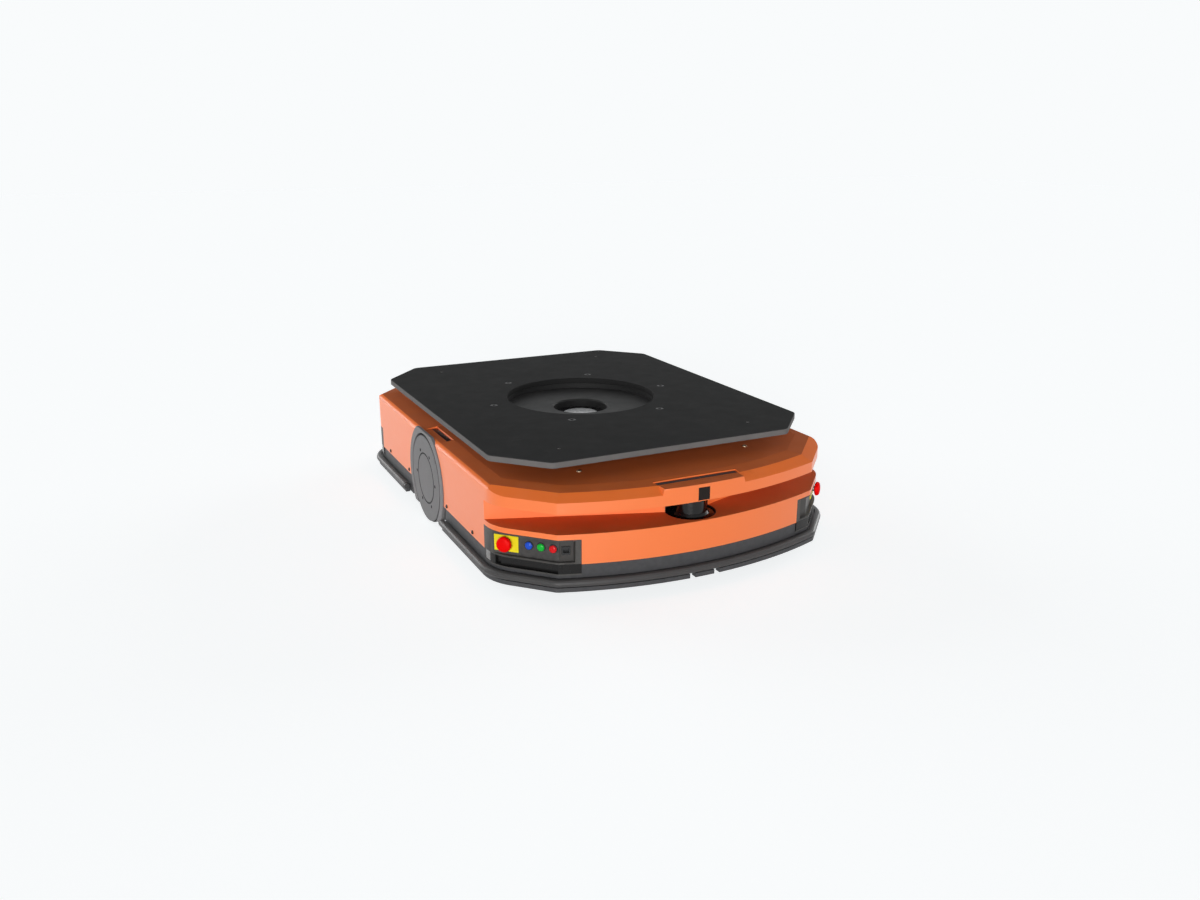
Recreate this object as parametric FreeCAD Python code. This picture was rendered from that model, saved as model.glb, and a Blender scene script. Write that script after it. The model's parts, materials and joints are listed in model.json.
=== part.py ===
"""Autonomous mobile robot with a lifting, turning load plate.

Millimetres, +Z up, nose towards -Y, origin on the floor below the middle of the drive axle.
Each sub-part is built by its own function and written to parts/NAME.step.
"""
import FreeCAD, Part
import math
import os

Vec = FreeCAD.Vector
UP = Vec(0, 0, 1)

# ---- driving dimensions: body plan ----
HALF_W = 380.0            # side face to centre line
HALF_L = 562.0            # tip of the nose arc to the axle
NOSE_R = 829.0            # radius of the bowed nose and tail
CUT_SIDE_Y = 414.0        # where the corner cut meets the line of the side
CUT_NOSE = (284.0, 514.0) # where the corner cut meets the nose arc
CORNER_R = 88.0           # rounding between side and corner cut
VERTEX_R = 14.0           # rounding between corner cut and nose
# ---- driving dimensions: heights ----
PAN_Z = 24.0              # underside of the base pan
SILL_Z = 71.0             # lower edge of the painted covers
BROW_Z = 193.0            # where the bevel under the top begins
EDGE_Z = 205.0            # top at the edge
CROWN_Z = 209.0           # top in the middle
LOAD_Z = 250.0            # load face with the lift down
WALL = 4.0                # cover thickness
SEAM_Y = 26.0             # joint between front and rear cover
SEAM_GAP = 0.8
# ---- lidar slot ----
SLOT_LOW, SLOT_HIGH = 131.0, 171.0
SLOT_SIDE_Y, SLOT_MID_X, SLOT_MID_Y = 374.0, 43.0, 493.0
LIDAR_Y = -505.0
LIDAR_WELL_R = 50.0
# ---- corner consoles ----
CONSOLE_TOP, CONSOLE_LOW = 120.0, 50.0
CONSOLE_X, CONSOLE_Y = 245.0, 371.0
PANEL_DEPTH = 8.0
# ---- drive wheels ----
WHEEL_R = 100.0
WHEEL_FACE_X = 382.0
FAIRING_R = 120.0
FAIRING_BORE_R = 102.0
WELL_TOP_Z = 190.0        # the well tube behind the fairing is open above this height
# ---- casters ----
CASTER_X, CASTER_Y = 265.0, 375.0
CASTER_R, CASTER_TRAIL = 37.5, 28.0
CASTER_HOLE_R = 72.0
# ---- lift and turntable ----
PLATE_T = 12.0
PLATE_HALF_W, PLATE_HALF_L = 359.5, 447.3
PLATE_CUT_X, PLATE_CUT_Y = 92.0, 98.5
PLATE_CORNER_R = 22.0
PLATE_BORE_R = 172.0
PLATE_SCREW_R = 215.7
LOAD_HOLE_X, LOAD_HOLE_Y = 220.0, 370.0
TABLE_TOP_Z = 224.0
GEAR_MODULE, RING_TEETH, PINION_TEETH = 5.0, 92, 18
TOOTH_THIN = 0.95         # tooth thickness left after backlash
RING_R = GEAR_MODULE * RING_TEETH / 2
PINION_R = GEAR_MODULE * PINION_TEETH / 2
PINION_Y = RING_R + PINION_R
SCREW_PCR = 140.0         # circle on which the three lift screws stand
SCREW_ANGLES = (270.0, 30.0, 150.0)
SCREW_R = 10.0
MOTOR_XY = (0.0, 182.0)   # lift motor and its pulley
PULLEY_R = 24.0
RUN_FIT = 0.05            # radial clearance of a shaft in its bore
GAP = 0.5                 # clearance between moving pieces that do not bear on each other


# ---------------------------------------------------------------- helpers
def box(x0, x1, y0, y1, z0, z1):
    return Part.makeBox(x1 - x0, y1 - y0, z1 - z0, Vec(x0, y0, z0))


def cyl(radius, z0, z1, x=0.0, y=0.0):
    return Part.makeCylinder(radius, z1 - z0, Vec(x, y, z0))


def tube(r_in, r_out, z0, z1, x=0.0, y=0.0):
    return cyl(r_out, z0, z1, x, y).cut(cyl(r_in, z0 - 1, z1 + 1, x, y))


def rod_x(radius, x0, x1, y=0.0, z=0.0):
    return Part.makeCylinder(radius, x1 - x0, Vec(x0, y, z), Vec(1, 0, 0))


def join(shapes):
    first, rest = shapes[0], shapes[1:]
    return first.fuse(rest).removeSplitter() if rest else first


def turned(points, axis_point, axis):
    """Solid of revolution of a closed profile given as points in one plane."""
    face = Part.Face(Part.makePolygon(points + points[:1]))
    return face.revolve(axis_point, axis, 360)


def turned_z(profile, x=0.0, y=0.0):
    """Turn (radius, z) pairs about a vertical axis."""
    return turned([Vec(x + r, y, z) for r, z in profile], Vec(x, y, 0), UP)


def turned_x(profile, z):
    """Turn (radius, x) pairs about a line along X at height z."""
    return turned([Vec(x, 0, z + r) for r, x in profile], Vec(0, 0, z), Vec(1, 0, 0))


def on_circle(radius, degrees):
    a = math.radians(degrees)
    return radius * math.cos(a), radius * math.sin(a)


def left_of(shape):
    """The mirror image on the other side of the centre line."""
    return shape.mirror(Vec(0, 0, 0), Vec(1, 0, 0))


def rear_of(shape):
    """The mirror image at the other end of the robot."""
    return shape.mirror(Vec(0, 0, 0), Vec(0, 1, 0))


def save(name, shape):
    solids = shape.Solids
    body = solids[0] if len(solids) == 1 else Part.makeCompound(solids)
    body.exportStep("parts/%s.step" % name)


# ---------------------------------------------------------------- body plan
def unit(x, y):
    size = math.hypot(x, y)
    return x / size, y / size


CUT_DIR = unit(CUT_NOSE[0] - HALF_W, -(CUT_NOSE[1] - CUT_SIDE_Y))
CUT_NORMAL = (-CUT_DIR[1], CUT_DIR[0])
NOSE_CENTRE_Y = NOSE_R - HALF_L


def quarter_points(grow, side_grow, corner_r):
    """Tangent points of the front right corner, from the side round to the nose arc.

    grow moves nose and corner cut outwards, side_grow moves the side.
    """
    nx, ny = CUT_NORMAL
    ux, uy = CUT_DIR
    side_x = HALF_W + side_grow
    base_x, base_y = HALF_W + grow * nx, -CUT_SIDE_Y + grow * ny
    step = (side_x - base_x) / ux
    corner = (side_x, base_y + step * uy)
    turn = math.acos(nx)
    reach = corner_r * math.tan(turn / 2)
    t1 = (side_x, corner[1] + reach)
    t2 = (corner[0] + reach * ux, corner[1] + reach * uy)
    bx, by = unit(1 + nx, ny)
    mid1 = (side_x - corner_r + corner_r * bx, t1[1] + corner_r * by)
    small = VERTEX_R + grow if VERTEX_R + grow > 1 else 1.0
    big = NOSE_R + grow
    sx, sy = base_x - small * nx, base_y - small * ny - NOSE_CENTRE_Y
    half_b = sx * ux + sy * uy
    rest = sx * sx + sy * sy - (big - small) ** 2
    along = -half_b + math.sqrt(half_b * half_b - rest)
    fx, fy = sx + along * ux, sy + along * uy
    rx, ry = unit(fx, fy)
    t3 = (fx + small * nx, fy + small * ny + NOSE_CENTRE_Y)
    t4 = (rx * big, ry * big + NOSE_CENTRE_Y)
    mx, my = unit(nx + rx, ny + ry)
    mid2 = (fx + small * mx, fy + small * my + NOSE_CENTRE_Y)
    return [t1, mid1, t2, t3, mid2, t4]


def plan_outline(z, grow=0.0, side_grow=None, corner_r=None):
    """Closed wire of the body seen from above, moved outwards by grow."""
    side_grow = grow if side_grow is None else side_grow
    corner_r = CORNER_R + grow if corner_r is None else corner_r
    quarter = quarter_points(grow, side_grow, corner_r)

    def corner(sign_x, sign_y, reverse):
        points = [Vec(sign_x * x, -sign_y * y, z) for x, y in quarter]
        if reverse:
            points.reverse()
        a, b, c, d, e, f = points
        return [a, Part.Arc(a, b, c).toShape(), Part.makeLine(c, d), Part.Arc(d, e, f).toShape(), f]

    tip = NOSE_CENTRE_Y - NOSE_R - grow
    corners = [corner(1, -1, False), corner(-1, -1, True), corner(-1, 1, False), corner(1, 1, True)]
    first, second, third, fourth = corners
    edges = first[1:4]
    edges += [Part.Arc(first[4], Vec(0, tip, z), second[0]).toShape()]
    edges += second[1:4] + [Part.makeLine(second[4], third[0])] + third[1:4]
    edges += [Part.Arc(third[4], Vec(0, -tip, z), fourth[0]).toShape()]
    edges += fourth[1:4] + [Part.makeLine(fourth[4], first[0])]
    return Part.Wire(Part.__sortEdges__(edges))


def slab(grow, z0, z1):
    """Plan of the body, moved outwards by grow, between two heights."""
    return Part.Face(plan_outline(z0, grow)).extrude(Vec(0, 0, z1 - z0))


def band(grow_out, grow_in, z0, z1):
    """Wall that follows the body's plan between two offsets."""
    return slab(grow_out, z0, z1).cut(slab(grow_in, z0 - 1, z1 + 1))


def on_cut(shape):
    """Move a shape from the local frame of the front left corner cut to its place.

    Local x runs along the cut from the side to the nose, y into the body, z up.
    """
    turn = math.degrees(math.atan2(CUT_DIR[1], -CUT_DIR[0]))
    placed = shape.copy()
    placed.rotate(Vec(0, 0, 0), UP, turn)
    placed.translate(Vec(-HALF_W, -CUT_SIDE_Y, 0))
    return placed


def on_cut_rod(radius, along, height, depth0, depth1):
    """Round rod square to the corner cut, between two depths."""
    rod = Part.makeCylinder(radius, depth1 - depth0, Vec(along, depth0, height), Vec(0, 1, 0))
    return on_cut(rod)


# ---------------------------------------------------------------- painted covers
BEVEL_RUN, CROWN_RUN, SIDE_CREASE_X = 24.0, 55.0, 343.0
SIDE_ROUND_R = 12.0
NOSE_BLOCK_X = 88.0        # half width of the raised middle of the brow
POCKET_Z = EDGE_Z         # floor of the shallow label pockets
NOSE_POCKET_X, NOSE_POCKET_Y = 93.0, 518.0
SIDE_POCKET_Y0, SIDE_POCKET_Y1 = -90.0, 26.0
POCKET_FLOOR = 2.0        # thinner floor where the wheels run close below
SHAFT_R = 210.0           # opening for the lift table
LOBE_R = 52.0             # opening for the turntable motor


def cover_form(wall):
    """Outside of the covers, or the same form a wall thickness further in."""
    brow, edge, crown = BROW_Z - wall, EDGE_Z - wall, CROWN_Z - wall
    half_w, round_r = HALF_W - wall, SIDE_ROUND_R - wall
    wide, sharp = 60.0, 5.0

    def ring(z, run):
        return plan_outline(z, -wall - run, wide, sharp)

    rings = [ring(SILL_Z, 0), ring(brow, 0), ring(edge, BEVEL_RUN), ring(crown, CROWN_RUN)]
    ends = Part.makeLoft(rings + [ring(crown + 1, CROWN_RUN)], True, True)
    slant = round_r * (1 - math.sqrt(0.5))
    profile = []
    for side in (1, -1):
        foot = Vec(side * half_w, -HALF_L, SILL_Z)
        shoulder = Vec(side * half_w, -HALF_L, edge - round_r)
        middle = Vec(side * (half_w - slant), -HALF_L, edge - slant)
        top = Vec(side * (half_w - round_r), -HALF_L, edge)
        crease = Vec(side * (SIDE_CREASE_X - wall), -HALF_L, crown)
        profile += [Part.makeLine(foot, shoulder), Part.Arc(shoulder, middle, top).toShape(),
                    Part.makeLine(top, crease)]
    profile.append(Part.makeLine(Vec(SIDE_CREASE_X - wall, -HALF_L, crown),
                                 Vec(wall - SIDE_CREASE_X, -HALF_L, crown)))
    profile.append(Part.makeLine(Vec(-half_w, -HALF_L, SILL_Z), Vec(half_w, -HALF_L, SILL_Z)))
    section = Part.Face(Part.Wire(Part.__sortEdges__(profile)))
    sides = section.extrude(Vec(0, 2 * HALF_L, 0))
    return ends.common(sides).common(slab(-wall, SILL_Z, crown + 1))


def slot_room(grow):
    """Space of the lidar slot, or the same with its walls."""
    slope = (SLOT_MID_Y - SLOT_SIDE_Y) / (HALF_W - SLOT_MID_X)
    far = HALF_W + 40
    far_y = -SLOT_SIDE_Y + 40 * slope + grow
    mid_y = -SLOT_MID_Y + grow
    back = [Vec(-far, far_y, 0), Vec(-SLOT_MID_X, mid_y, 0), Vec(SLOT_MID_X, mid_y, 0), Vec(far, far_y, 0)]
    points = back + [Vec(far, -HALF_L - 40, 0), Vec(-far, -HALF_L - 40, 0)]
    floor = Part.Face(Part.makePolygon(points + points[:1]))
    floor.translate(Vec(0, 0, SLOT_LOW - grow))
    room = floor.extrude(Vec(0, 0, SLOT_HIGH - SLOT_LOW + 2 * grow))
    return room.fuse(cyl(LIDAR_WELL_R + grow, SLOT_LOW - grow, SLOT_HIGH + grow, 0, LIDAR_Y))


def pocket_rooms(grow):
    """Spaces of the shallow label pockets in the nose and both sides of the top."""
    above = CROWN_Z + 10
    low = POCKET_Z - min(grow, POCKET_FLOOR)
    rooms = [box(-NOSE_POCKET_X - grow, NOSE_POCKET_X + grow, -HALF_L - 5, -NOSE_POCKET_Y + grow, low, above)]
    side = box(SIDE_CREASE_X - grow, HALF_W + 5, SIDE_POCKET_Y0 - grow, SIDE_POCKET_Y1, low, above)
    return rooms + [side, left_of(side)]


def console_zones(gap):
    """Corner regions that the consoles fill in place of the cover."""
    zone = box(CONSOLE_X - gap, HALF_W + 50, -HALF_L - 50, -CONSOLE_Y + gap, SILL_Z - 30, CONSOLE_TOP + gap)
    return [zone, left_of(zone), rear_of(zone), left_of(rear_of(zone))]


def nose_block():
    """Raised middle of the brow, with slightly drafted ends."""
    foot, top = NOSE_BLOCK_X + 4, NOSE_BLOCK_X
    corners = [(-foot, BROW_Z - 1), (-top, EDGE_Z), (top, EDGE_Z), (foot, BROW_Z - 1)]
    points = [Vec(x, -HALF_L, z) for x, z in corners]
    face = Part.Face(Part.makePolygon(points + points[:1]))
    length = HALF_L - NOSE_POCKET_Y + 5
    return face.extrude(Vec(0, length, 0)).common(slab(0, BROW_Z - 5, CROWN_Z))


def full_cover():
    outside = cover_form(0)
    outside = outside.fuse(nose_block()).cut(slot_room(0)).cut(pocket_rooms(0))
    hollow = cover_form(WALL).cut(slot_room(WALL)).cut(pocket_rooms(WALL))
    hollow = hollow.fuse(slab(-WALL, SILL_Z - 5, SILL_Z + 5))
    shaft = [cyl(SHAFT_R, SILL_Z, LOAD_Z), cyl(LOBE_R, SILL_Z, LOAD_Z, 0, PINION_Y),
             box(-LOBE_R, LOBE_R, 0, PINION_Y, SILL_Z, LOAD_Z)]
    arch = rod_x(FAIRING_R + 1.5, HALF_W - WALL - GAP, HALF_W + 5, 0, WHEEL_R)
    wheel_room = rod_x(WHEEL_R + 1.4, WHEEL_SLOT_X, HALF_W, 0, WHEEL_R)
    rooms = [arch, left_of(arch), wheel_room, left_of(wheel_room)]
    shell = outside.cut(hollow).cut(shaft).cut(rooms).cut(console_zones(GAP))
    return shell.cut(cyl(LIDAR_WELL_R, SILL_Z, SLOT_HIGH, 0, LIDAR_Y))


def covers():
    whole = full_cover()
    half_gap = SEAM_GAP / 2
    front = whole.common(box(-HALF_W - 9, HALF_W + 9, -HALF_L - 9, SEAM_Y - half_gap, 0, LOAD_Z))
    rear = whole.common(box(-HALF_W - 9, HALF_W + 9, SEAM_Y + half_gap, HALF_L + 9, 0, LOAD_Z))
    return front, rear


# ---------------------------------------------------------------- base, skirts and bumpers
PAN_T, FRAME_WALL = 6.0, 4.0
WALL_IN = 2.0             # how far the skirt stands in from the plan of the covers
WHEEL_SLOT_X, WHEEL_SLOT_Y = 321.0, 122.0
ARCH_TOP_Z = 176.0        # top of the upright plates that carry the drive units
CASTER_SEAT_Z = 94.0
BRIDGE_HALF_L = 32.0
BUMPER_Y_FRONT, BUMPER_Y_REAR = 125.0, 150.0
RAIL_OUT, RAIL_SIDE_OUT = 12.0, 8.0
RAIL_LOW_Z, RAIL_TOP_Z = 21.0, 29.5
RAIL_NOTCHES = (-31.0, 23.0)
NOTCH_HALF_W = 6.0
ROLL_SECTION = ((8, 29.5), (12.5, 31.5), (15, 35), (15.3, 37.5), (14.2, 41), (11.5, 43.6), (8, 44.5))
GROOVE_OUT, GROOVE_Z = 3.5, 41.0
PLUG_R, PLUG_OUT, PLUG_Z = 6.5, 7.7, 37.0
SHELF_Z, SHELF_T = 88.0, 4.0


def corners_of(shape):
    """The shape and its three mirror images, front left, front right, rear left, rear right."""
    return [left_of(shape), shape, rear_of(left_of(shape)), rear_of(shape)]


def caster_bridge():
    """Folded bridge over one caster, with its king pin seat (front right)."""
    x, y = CASTER_X, -CASTER_Y
    inner = CASTER_HOLE_R + 3
    outer = inner + FRAME_WALL
    y0, y1 = y - BRIDGE_HALF_L, y + BRIDGE_HALF_L
    top = box(x - outer, x + outer, y0, y1, CASTER_SEAT_Z, CASTER_SEAT_Z + 6)
    right_leg = box(x + inner, x + outer, y0, y1, PAN_Z + PAN_T, CASTER_SEAT_Z)
    left_leg = box(x - outer, x - inner, y0, y1, PAN_Z + PAN_T, CASTER_SEAT_Z)
    return join([top, right_leg, left_leg]).cut(cyl(8 + RUN_FIT, 60, CASTER_SEAT_Z + 20, x, y))


def base_frame():
    """Pan, skirt, arch plates, bulkheads, lidar shelf and caster bridges, each a plate of its own."""
    floor = PAN_Z + PAN_T
    pan = slab(-WALL_IN - FRAME_WALL, PAN_Z, floor)
    skirt = band(-WALL_IN, -WALL_IN - FRAME_WALL, PAN_Z, SILL_Z)
    slots = [box(WHEEL_SLOT_X, HALF_W + 9, -WHEEL_SLOT_Y, WHEEL_SLOT_Y, 0, LOAD_Z)]
    slots.append(left_of(slots[0]))
    holes = corners_of(cyl(CASTER_HOLE_R, 0, SILL_Z + 1, CASTER_X, -CASTER_Y))
    consoles = [z.common(slab(9, CONSOLE_LOW, SILL_Z + 9)) for z in console_zones(GAP)]
    arch = box(WHEEL_SLOT_X - 6, WHEEL_SLOT_X, -WHEEL_SLOT_Y, WHEEL_SLOT_Y, floor, ARCH_TOP_Z)
    arch = arch.cut(rod_x(56.5, 0, HALF_W, 0, WHEEL_R))
    top = SHELF_Z + SHELF_T
    bulkhead = box(-170, 170, 436, 440, floor, top).fuse(box(-170, 170, 422, 436, SHELF_Z, top))
    shelf = box(-45, 45, LIDAR_Y - 46, -440, SHELF_Z, top)
    plates = [pan, skirt, arch, left_of(arch), bulkhead, rear_of(bulkhead), shelf]
    plates += corners_of(caster_bridge())
    cutters = slots + holes + consoles
    return Part.makeCompound([plate.cut(cutters) for plate in plates])


def span(shape, y_front, y_rear):
    """The front and the rear stretch of a ring, in front of y_front and behind y_rear."""
    far = HALF_L + 60
    front = shape.common(box(-far, far, -far, -y_front, 0, LOAD_Z))
    return front, shape.common(box(-far, far, y_rear, far, 0, LOAD_Z))


def bumpers():
    """Soft roll that runs round the body on the rail, with a groove between roll and skirt."""
    outlines = [plan_outline(z, grow) for grow, z in ROLL_SECTION]
    ring = Part.makeLoft(outlines, True, True).cut(slab(-WALL_IN, 0, LOAD_Z))
    ring = ring.cut(band(GROOVE_OUT, -WALL_IN - 1, GROOVE_Z, RAIL_TOP_Z + 20))
    return span(ring, BUMPER_Y_FRONT, BUMPER_Y_REAR)


def bumper_rails():
    """Flat rail under the bumpers, notched twice at the nose."""
    plan = Part.Face(plan_outline(RAIL_LOW_Z, RAIL_OUT, RAIL_SIDE_OUT))
    ring = plan.extrude(Vec(0, 0, RAIL_TOP_Z - RAIL_LOW_Z)).cut(slab(-WALL_IN, 0, LOAD_Z))
    for x in RAIL_NOTCHES:
        ring = ring.cut(box(x - NOTCH_HALF_W, x + NOTCH_HALF_W, -HALF_L - 20, -HALF_L + 3, 0, RAIL_TOP_Z + 1))
    return span(ring, BUMPER_Y_FRONT, BUMPER_Y_REAR)


def bumper_end_plugs():
    """Moulded plugs that close the cut ends of both bumpers."""
    x = HALF_W + PLUG_OUT
    rear = Part.makeCylinder(PLUG_R, 8, Vec(x, BUMPER_Y_REAR, PLUG_Z), Vec(0, -1, 0))
    front = Part.makeCylinder(PLUG_R, 5, Vec(x, -BUMPER_Y_FRONT, PLUG_Z), Vec(0, 1, 0))
    return [rear, left_of(rear), front, left_of(front)]


def fairing():
    """Grey wheel fairing with its well tube (right side)."""
    face = rod_x(FAIRING_R, HALF_W - 4, WHEEL_FACE_X, 0, WHEEL_R)
    well = rod_x(FAIRING_BORE_R + 5, WHEEL_SLOT_X, HALF_W - 4, 0, WHEEL_R)
    whole = join([face, well]).cut(rod_x(FAIRING_BORE_R, WHEEL_SLOT_X - 1, HALF_W + 9, 0, WHEEL_R))
    trimmed = whole.common(box(0, HALF_W + 9, -200, 200, PAN_Z - 2, CROWN_Z - 1))
    return trimmed.cut(box(0, HALF_W - 4, -200, 200, WELL_TOP_Z, LOAD_Z))


# ---------------------------------------------------------------- drive wheels and units
DISC_R, TREAD_IN_R = 96.8, 88.0
GROOVE_R, GROOVE_W, GROOVE_DEPTH = 57.4, 1.6, 2.0
WHEEL_BOLT_PCR, WHEEL_BOLT_R = 66.0, 3.2


def wheel_disc():
    """Machined wheel with its web, hub and closed outer face (right side)."""
    face = WHEEL_FACE_X
    hub = [(0, 331), (54, 331), (54, 341), (40, 346), (40, 352), (84, 352), (84, 335)]
    rim = [(TREAD_IN_R, 335), (TREAD_IN_R, face - 2.6), (DISC_R, face - 2.6), (DISC_R, face)]
    groove_in, groove_floor = GROOVE_R - GROOVE_W, face - GROOVE_DEPTH
    groove = [(GROOVE_R, face), (GROOVE_R, groove_floor), (groove_in, groove_floor), (groove_in, face)]
    disc = turned_x(hub + rim + groove + [(0, face)], WHEEL_R)
    for k in range(6):
        a = math.radians(60 * k)
        y, z = WHEEL_BOLT_PCR * math.cos(a), WHEEL_R + WHEEL_BOLT_PCR * math.sin(a)
        disc = disc.cut(rod_x(WHEEL_BOLT_R, face - 8, face + 1, y, z))
    return disc


def wheel_tyre():
    """Polyurethane tread bonded to the wheel (right side)."""
    face = WHEEL_FACE_X
    inner, outer = TREAD_IN_R, WHEEL_R
    tread = [(outer - 3, 335), (outer, 338), (outer, face - 5.5), (outer - 2.5, face - 2.8)]
    return turned_x([(inner, 335)] + tread + [(inner, face - 2.8)], WHEEL_R)


def drive_unit():
    """Gearbox, servo motor and brake on the wheel arch (right side)."""
    z = WHEEL_R
    flange = rod_x(62, 300, WHEEL_SLOT_X - 6, 0, z)
    spigot = rod_x(56, WHEEL_SLOT_X - 6, WHEEL_SLOT_X + 6, 0, z)
    gearbox = rod_x(50, 246, 300, 0, z)
    motor = box(160, 246, -43, 43, z - 43, z + 43)
    brake = rod_x(34, 140, 160, 0, z)
    return join([flange, spigot, gearbox, motor, brake])


# ---------------------------------------------------------------- casters
def caster_fork(x, y):
    """Swivel crown with king pin, two cheeks and the axle, trailing towards the rear."""
    top = CASTER_SEAT_Z - GAP
    axle_y, cheek_in, cheek_t = y + CASTER_TRAIL, 16.5, 3.5
    rim = [(0, top - 9), (27, top - 9), (30, top - 6), (30, top - 2)]
    crown = turned_z(rim + [(22, top - 2), (22, top), (0, top)], x, y)
    pin = cyl(8, top - 1, CASTER_SEAT_Z + 6, x, y)
    low = CASTER_R - 9
    rear = [(y - 18, top - 5), (y + 24, top - 5), (axle_y + 12, CASTER_R)]
    outline = rear + [(axle_y + 8, low), (axle_y - 8, low), (axle_y - 13, CASTER_R + 4)]
    cheeks = []
    for x0 in (x - cheek_in - cheek_t, x + cheek_in):
        points = [Vec(x0, py, pz) for py, pz in outline]
        face = Part.Face(Part.makePolygon(points + points[:1]))
        cheeks.append(face.extrude(Vec(cheek_t, 0, 0)))
    axle = rod_x(5, x - 24, x + 24, axle_y, CASTER_R)
    heads = [rod_x(8, x - 24, x - 20, axle_y, CASTER_R), rod_x(8, x + 20, x + 24, axle_y, CASTER_R)]
    return join([crown, pin, axle] + cheeks + heads)


def caster_wheel(x, y):
    """Wheel with a turned hub, a thin web and a tread with rounded shoulders."""
    bore = 5 + RUN_FIT
    half = [(bore, 16), (11, 16), (13, 11), (29, 11), (30, 15), (35, 15), (CASTER_R, 12)]
    profile = [(r, -w) for r, w in half] + [(r, w) for r, w in reversed(half)]
    wheel = turned_x(profile, CASTER_R)
    wheel.translate(Vec(x, y + CASTER_TRAIL, 0))
    return wheel


# ---------------------------------------------------------------- corner consoles
ESTOP_ALONG, ESTOP_Z, ESTOP_R = 26.0, 98.5, 15.0
ESTOP_STEM_R, ESTOP_STEM_END = 6.0, -6.0
PLATE_ALONG0, PLATE_ALONG1, PLATE_LOW, PLATE_HIGH = 1.5, 51.5, 81.5, 113.5
PANEL_ALONG0, PANEL_ALONG1, PANEL_LOW, PANEL_HIGH = 56.0, 135.0, 76.5, 114.5
BUTTONS = (("blue_button", 73.5), ("green_button", 98.0), ("red_button", 122.5))
BUTTON_R, BUTTON_Z = 7.5, 100.0
BUTTON_STEM_R = 3.0
PLATE_FACE = 6.5          # depth of the yellow plate and of the button panel below the cut's face
PORT_X, PORT_Z, PORT_HALF = 272.0, 97.0, 8.0
CUT_LENGTH = math.hypot(CUT_NOSE[0] - HALF_W, CUT_NOSE[1] - CUT_SIDE_Y)
CONSOLE_T = 18.0
CONSOLE_FRAME = 11.0      # width of the console's upright frame on the nose
LOW_BAY_DEPTH, LOW_BAY_DEEP = 7.0, 13.0
LAMP_T, LAMP_ALONG = 2.8, -11.0
LAMP_LOW, LAMP_HIGH = 54.0, 73.0


def console():
    """Moulded corner console with its upper panel bay and lower bay (front left)."""
    edge = -HALF_L - 50
    zone = left_of(box(CONSOLE_X, HALF_W + 50, edge, -CONSOLE_Y, CONSOLE_LOW, CONSOLE_TOP))
    body = band(0, -CONSOLE_T, CONSOLE_LOW, CONSOLE_TOP).common(zone)
    bay_low, bay_high = PANEL_LOW - 1, PANEL_HIGH + 3
    bay = on_cut(box(-1, CUT_LENGTH, -12, PANEL_DEPTH, bay_low, bay_high))
    arc_bay = left_of(box(CONSOLE_X + CONSOLE_FRAME, CUT_NOSE[0] + 4, edge, -CONSOLE_Y, bay_low, bay_high))
    arc_bay = arc_bay.common(band(10, -PANEL_DEPTH, CONSOLE_LOW, CONSOLE_TOP))
    low_bay = on_cut(box(3, CUT_LENGTH - 4, -12, LOW_BAY_DEPTH, CONSOLE_LOW + 3, PANEL_LOW - 5))
    deep = on_cut(box(4, 15, 0, LOW_BAY_DEEP, CONSOLE_LOW + 4, PANEL_LOW - 6))
    lamp_bay = band(5, -LAMP_T, LAMP_LOW - GAP, LAMP_HIGH + GAP).common(lamp_zone(GAP))
    return body.cut([bay, arc_bay, low_bay, deep, lamp_bay])


def lamp_zone(gap):
    """Where the corner lamp wraps round the side corner (front left)."""
    corner = on_cut(box(-60, LAMP_ALONG + gap, -40, 40, CONSOLE_LOW, CONSOLE_TOP))
    front_y = -CONSOLE_Y - 8 + gap
    return corner.common(box(-HALF_W - 20, 0, -HALF_L, front_y, CONSOLE_LOW, CONSOLE_TOP))


def corner_lamp():
    """Translucent lens (front left)."""
    return band(-0.1, -LAMP_T, LAMP_LOW, LAMP_HIGH).common(lamp_zone(0))


def on_nose(shape):
    """Move a shape from a local frame that faces -Y to the port's place on the nose arc."""
    slant = math.asin(PORT_X / NOSE_R)
    placed = shape.copy()
    placed.rotate(Vec(0, 0, 0), UP, -math.degrees(slant))
    placed.translate(Vec(-PORT_X, NOSE_CENTRE_Y - NOSE_R * math.cos(slant), 0))
    return placed


def port_room():
    half = PORT_HALF + 0.3
    return on_nose(box(-half, half, -20, PANEL_DEPTH + 6, PORT_Z - half, PORT_Z + half))


def io_port():
    """Service socket block behind the console (front left)."""
    depth, half = PANEL_DEPTH, PORT_HALF
    block = box(-half, half, depth - 2, depth + 6, PORT_Z - half, PORT_Z + half)
    return on_nose(block.cut(box(-5.8, 5.8, depth - 3, depth + 5, PORT_Z - 4.5, PORT_Z + 4.5)))


def estop_plate():
    plate = box(PLATE_ALONG0, PLATE_ALONG1, PLATE_FACE, PANEL_DEPTH, PLATE_LOW, PLATE_HIGH)
    return on_cut(plate).cut(on_cut_rod(11 + RUN_FIT, ESTOP_ALONG, ESTOP_Z, 0, 20))


def estop_stem():
    return on_cut_rod(ESTOP_STEM_R, ESTOP_ALONG, ESTOP_Z, ESTOP_STEM_END, 20)


def estop_head():
    """Mushroom head that presses in and twists to release."""
    bore, seat = ESTOP_STEM_R + RUN_FIT, ESTOP_STEM_END - 0.5
    under = [(bore, seat), (bore, 1.5), (11, 1.5), (ESTOP_R, -1), (ESTOP_R, -4.5)]
    dome = [(13.6, -7.6), (9.5, -9.4), (4.5, -10.2), (0, -10.4)]
    points = [Vec(ESTOP_ALONG + r, depth, ESTOP_Z) for r, depth in under + dome + [(0, seat)]]
    return on_cut(turned(points, Vec(ESTOP_ALONG, 0, ESTOP_Z), Vec(0, 1, 0)))


def estop_bore():
    return on_cut_rod(ESTOP_STEM_R + RUN_FIT, ESTOP_ALONG, ESTOP_Z, 0, 30)


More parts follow.
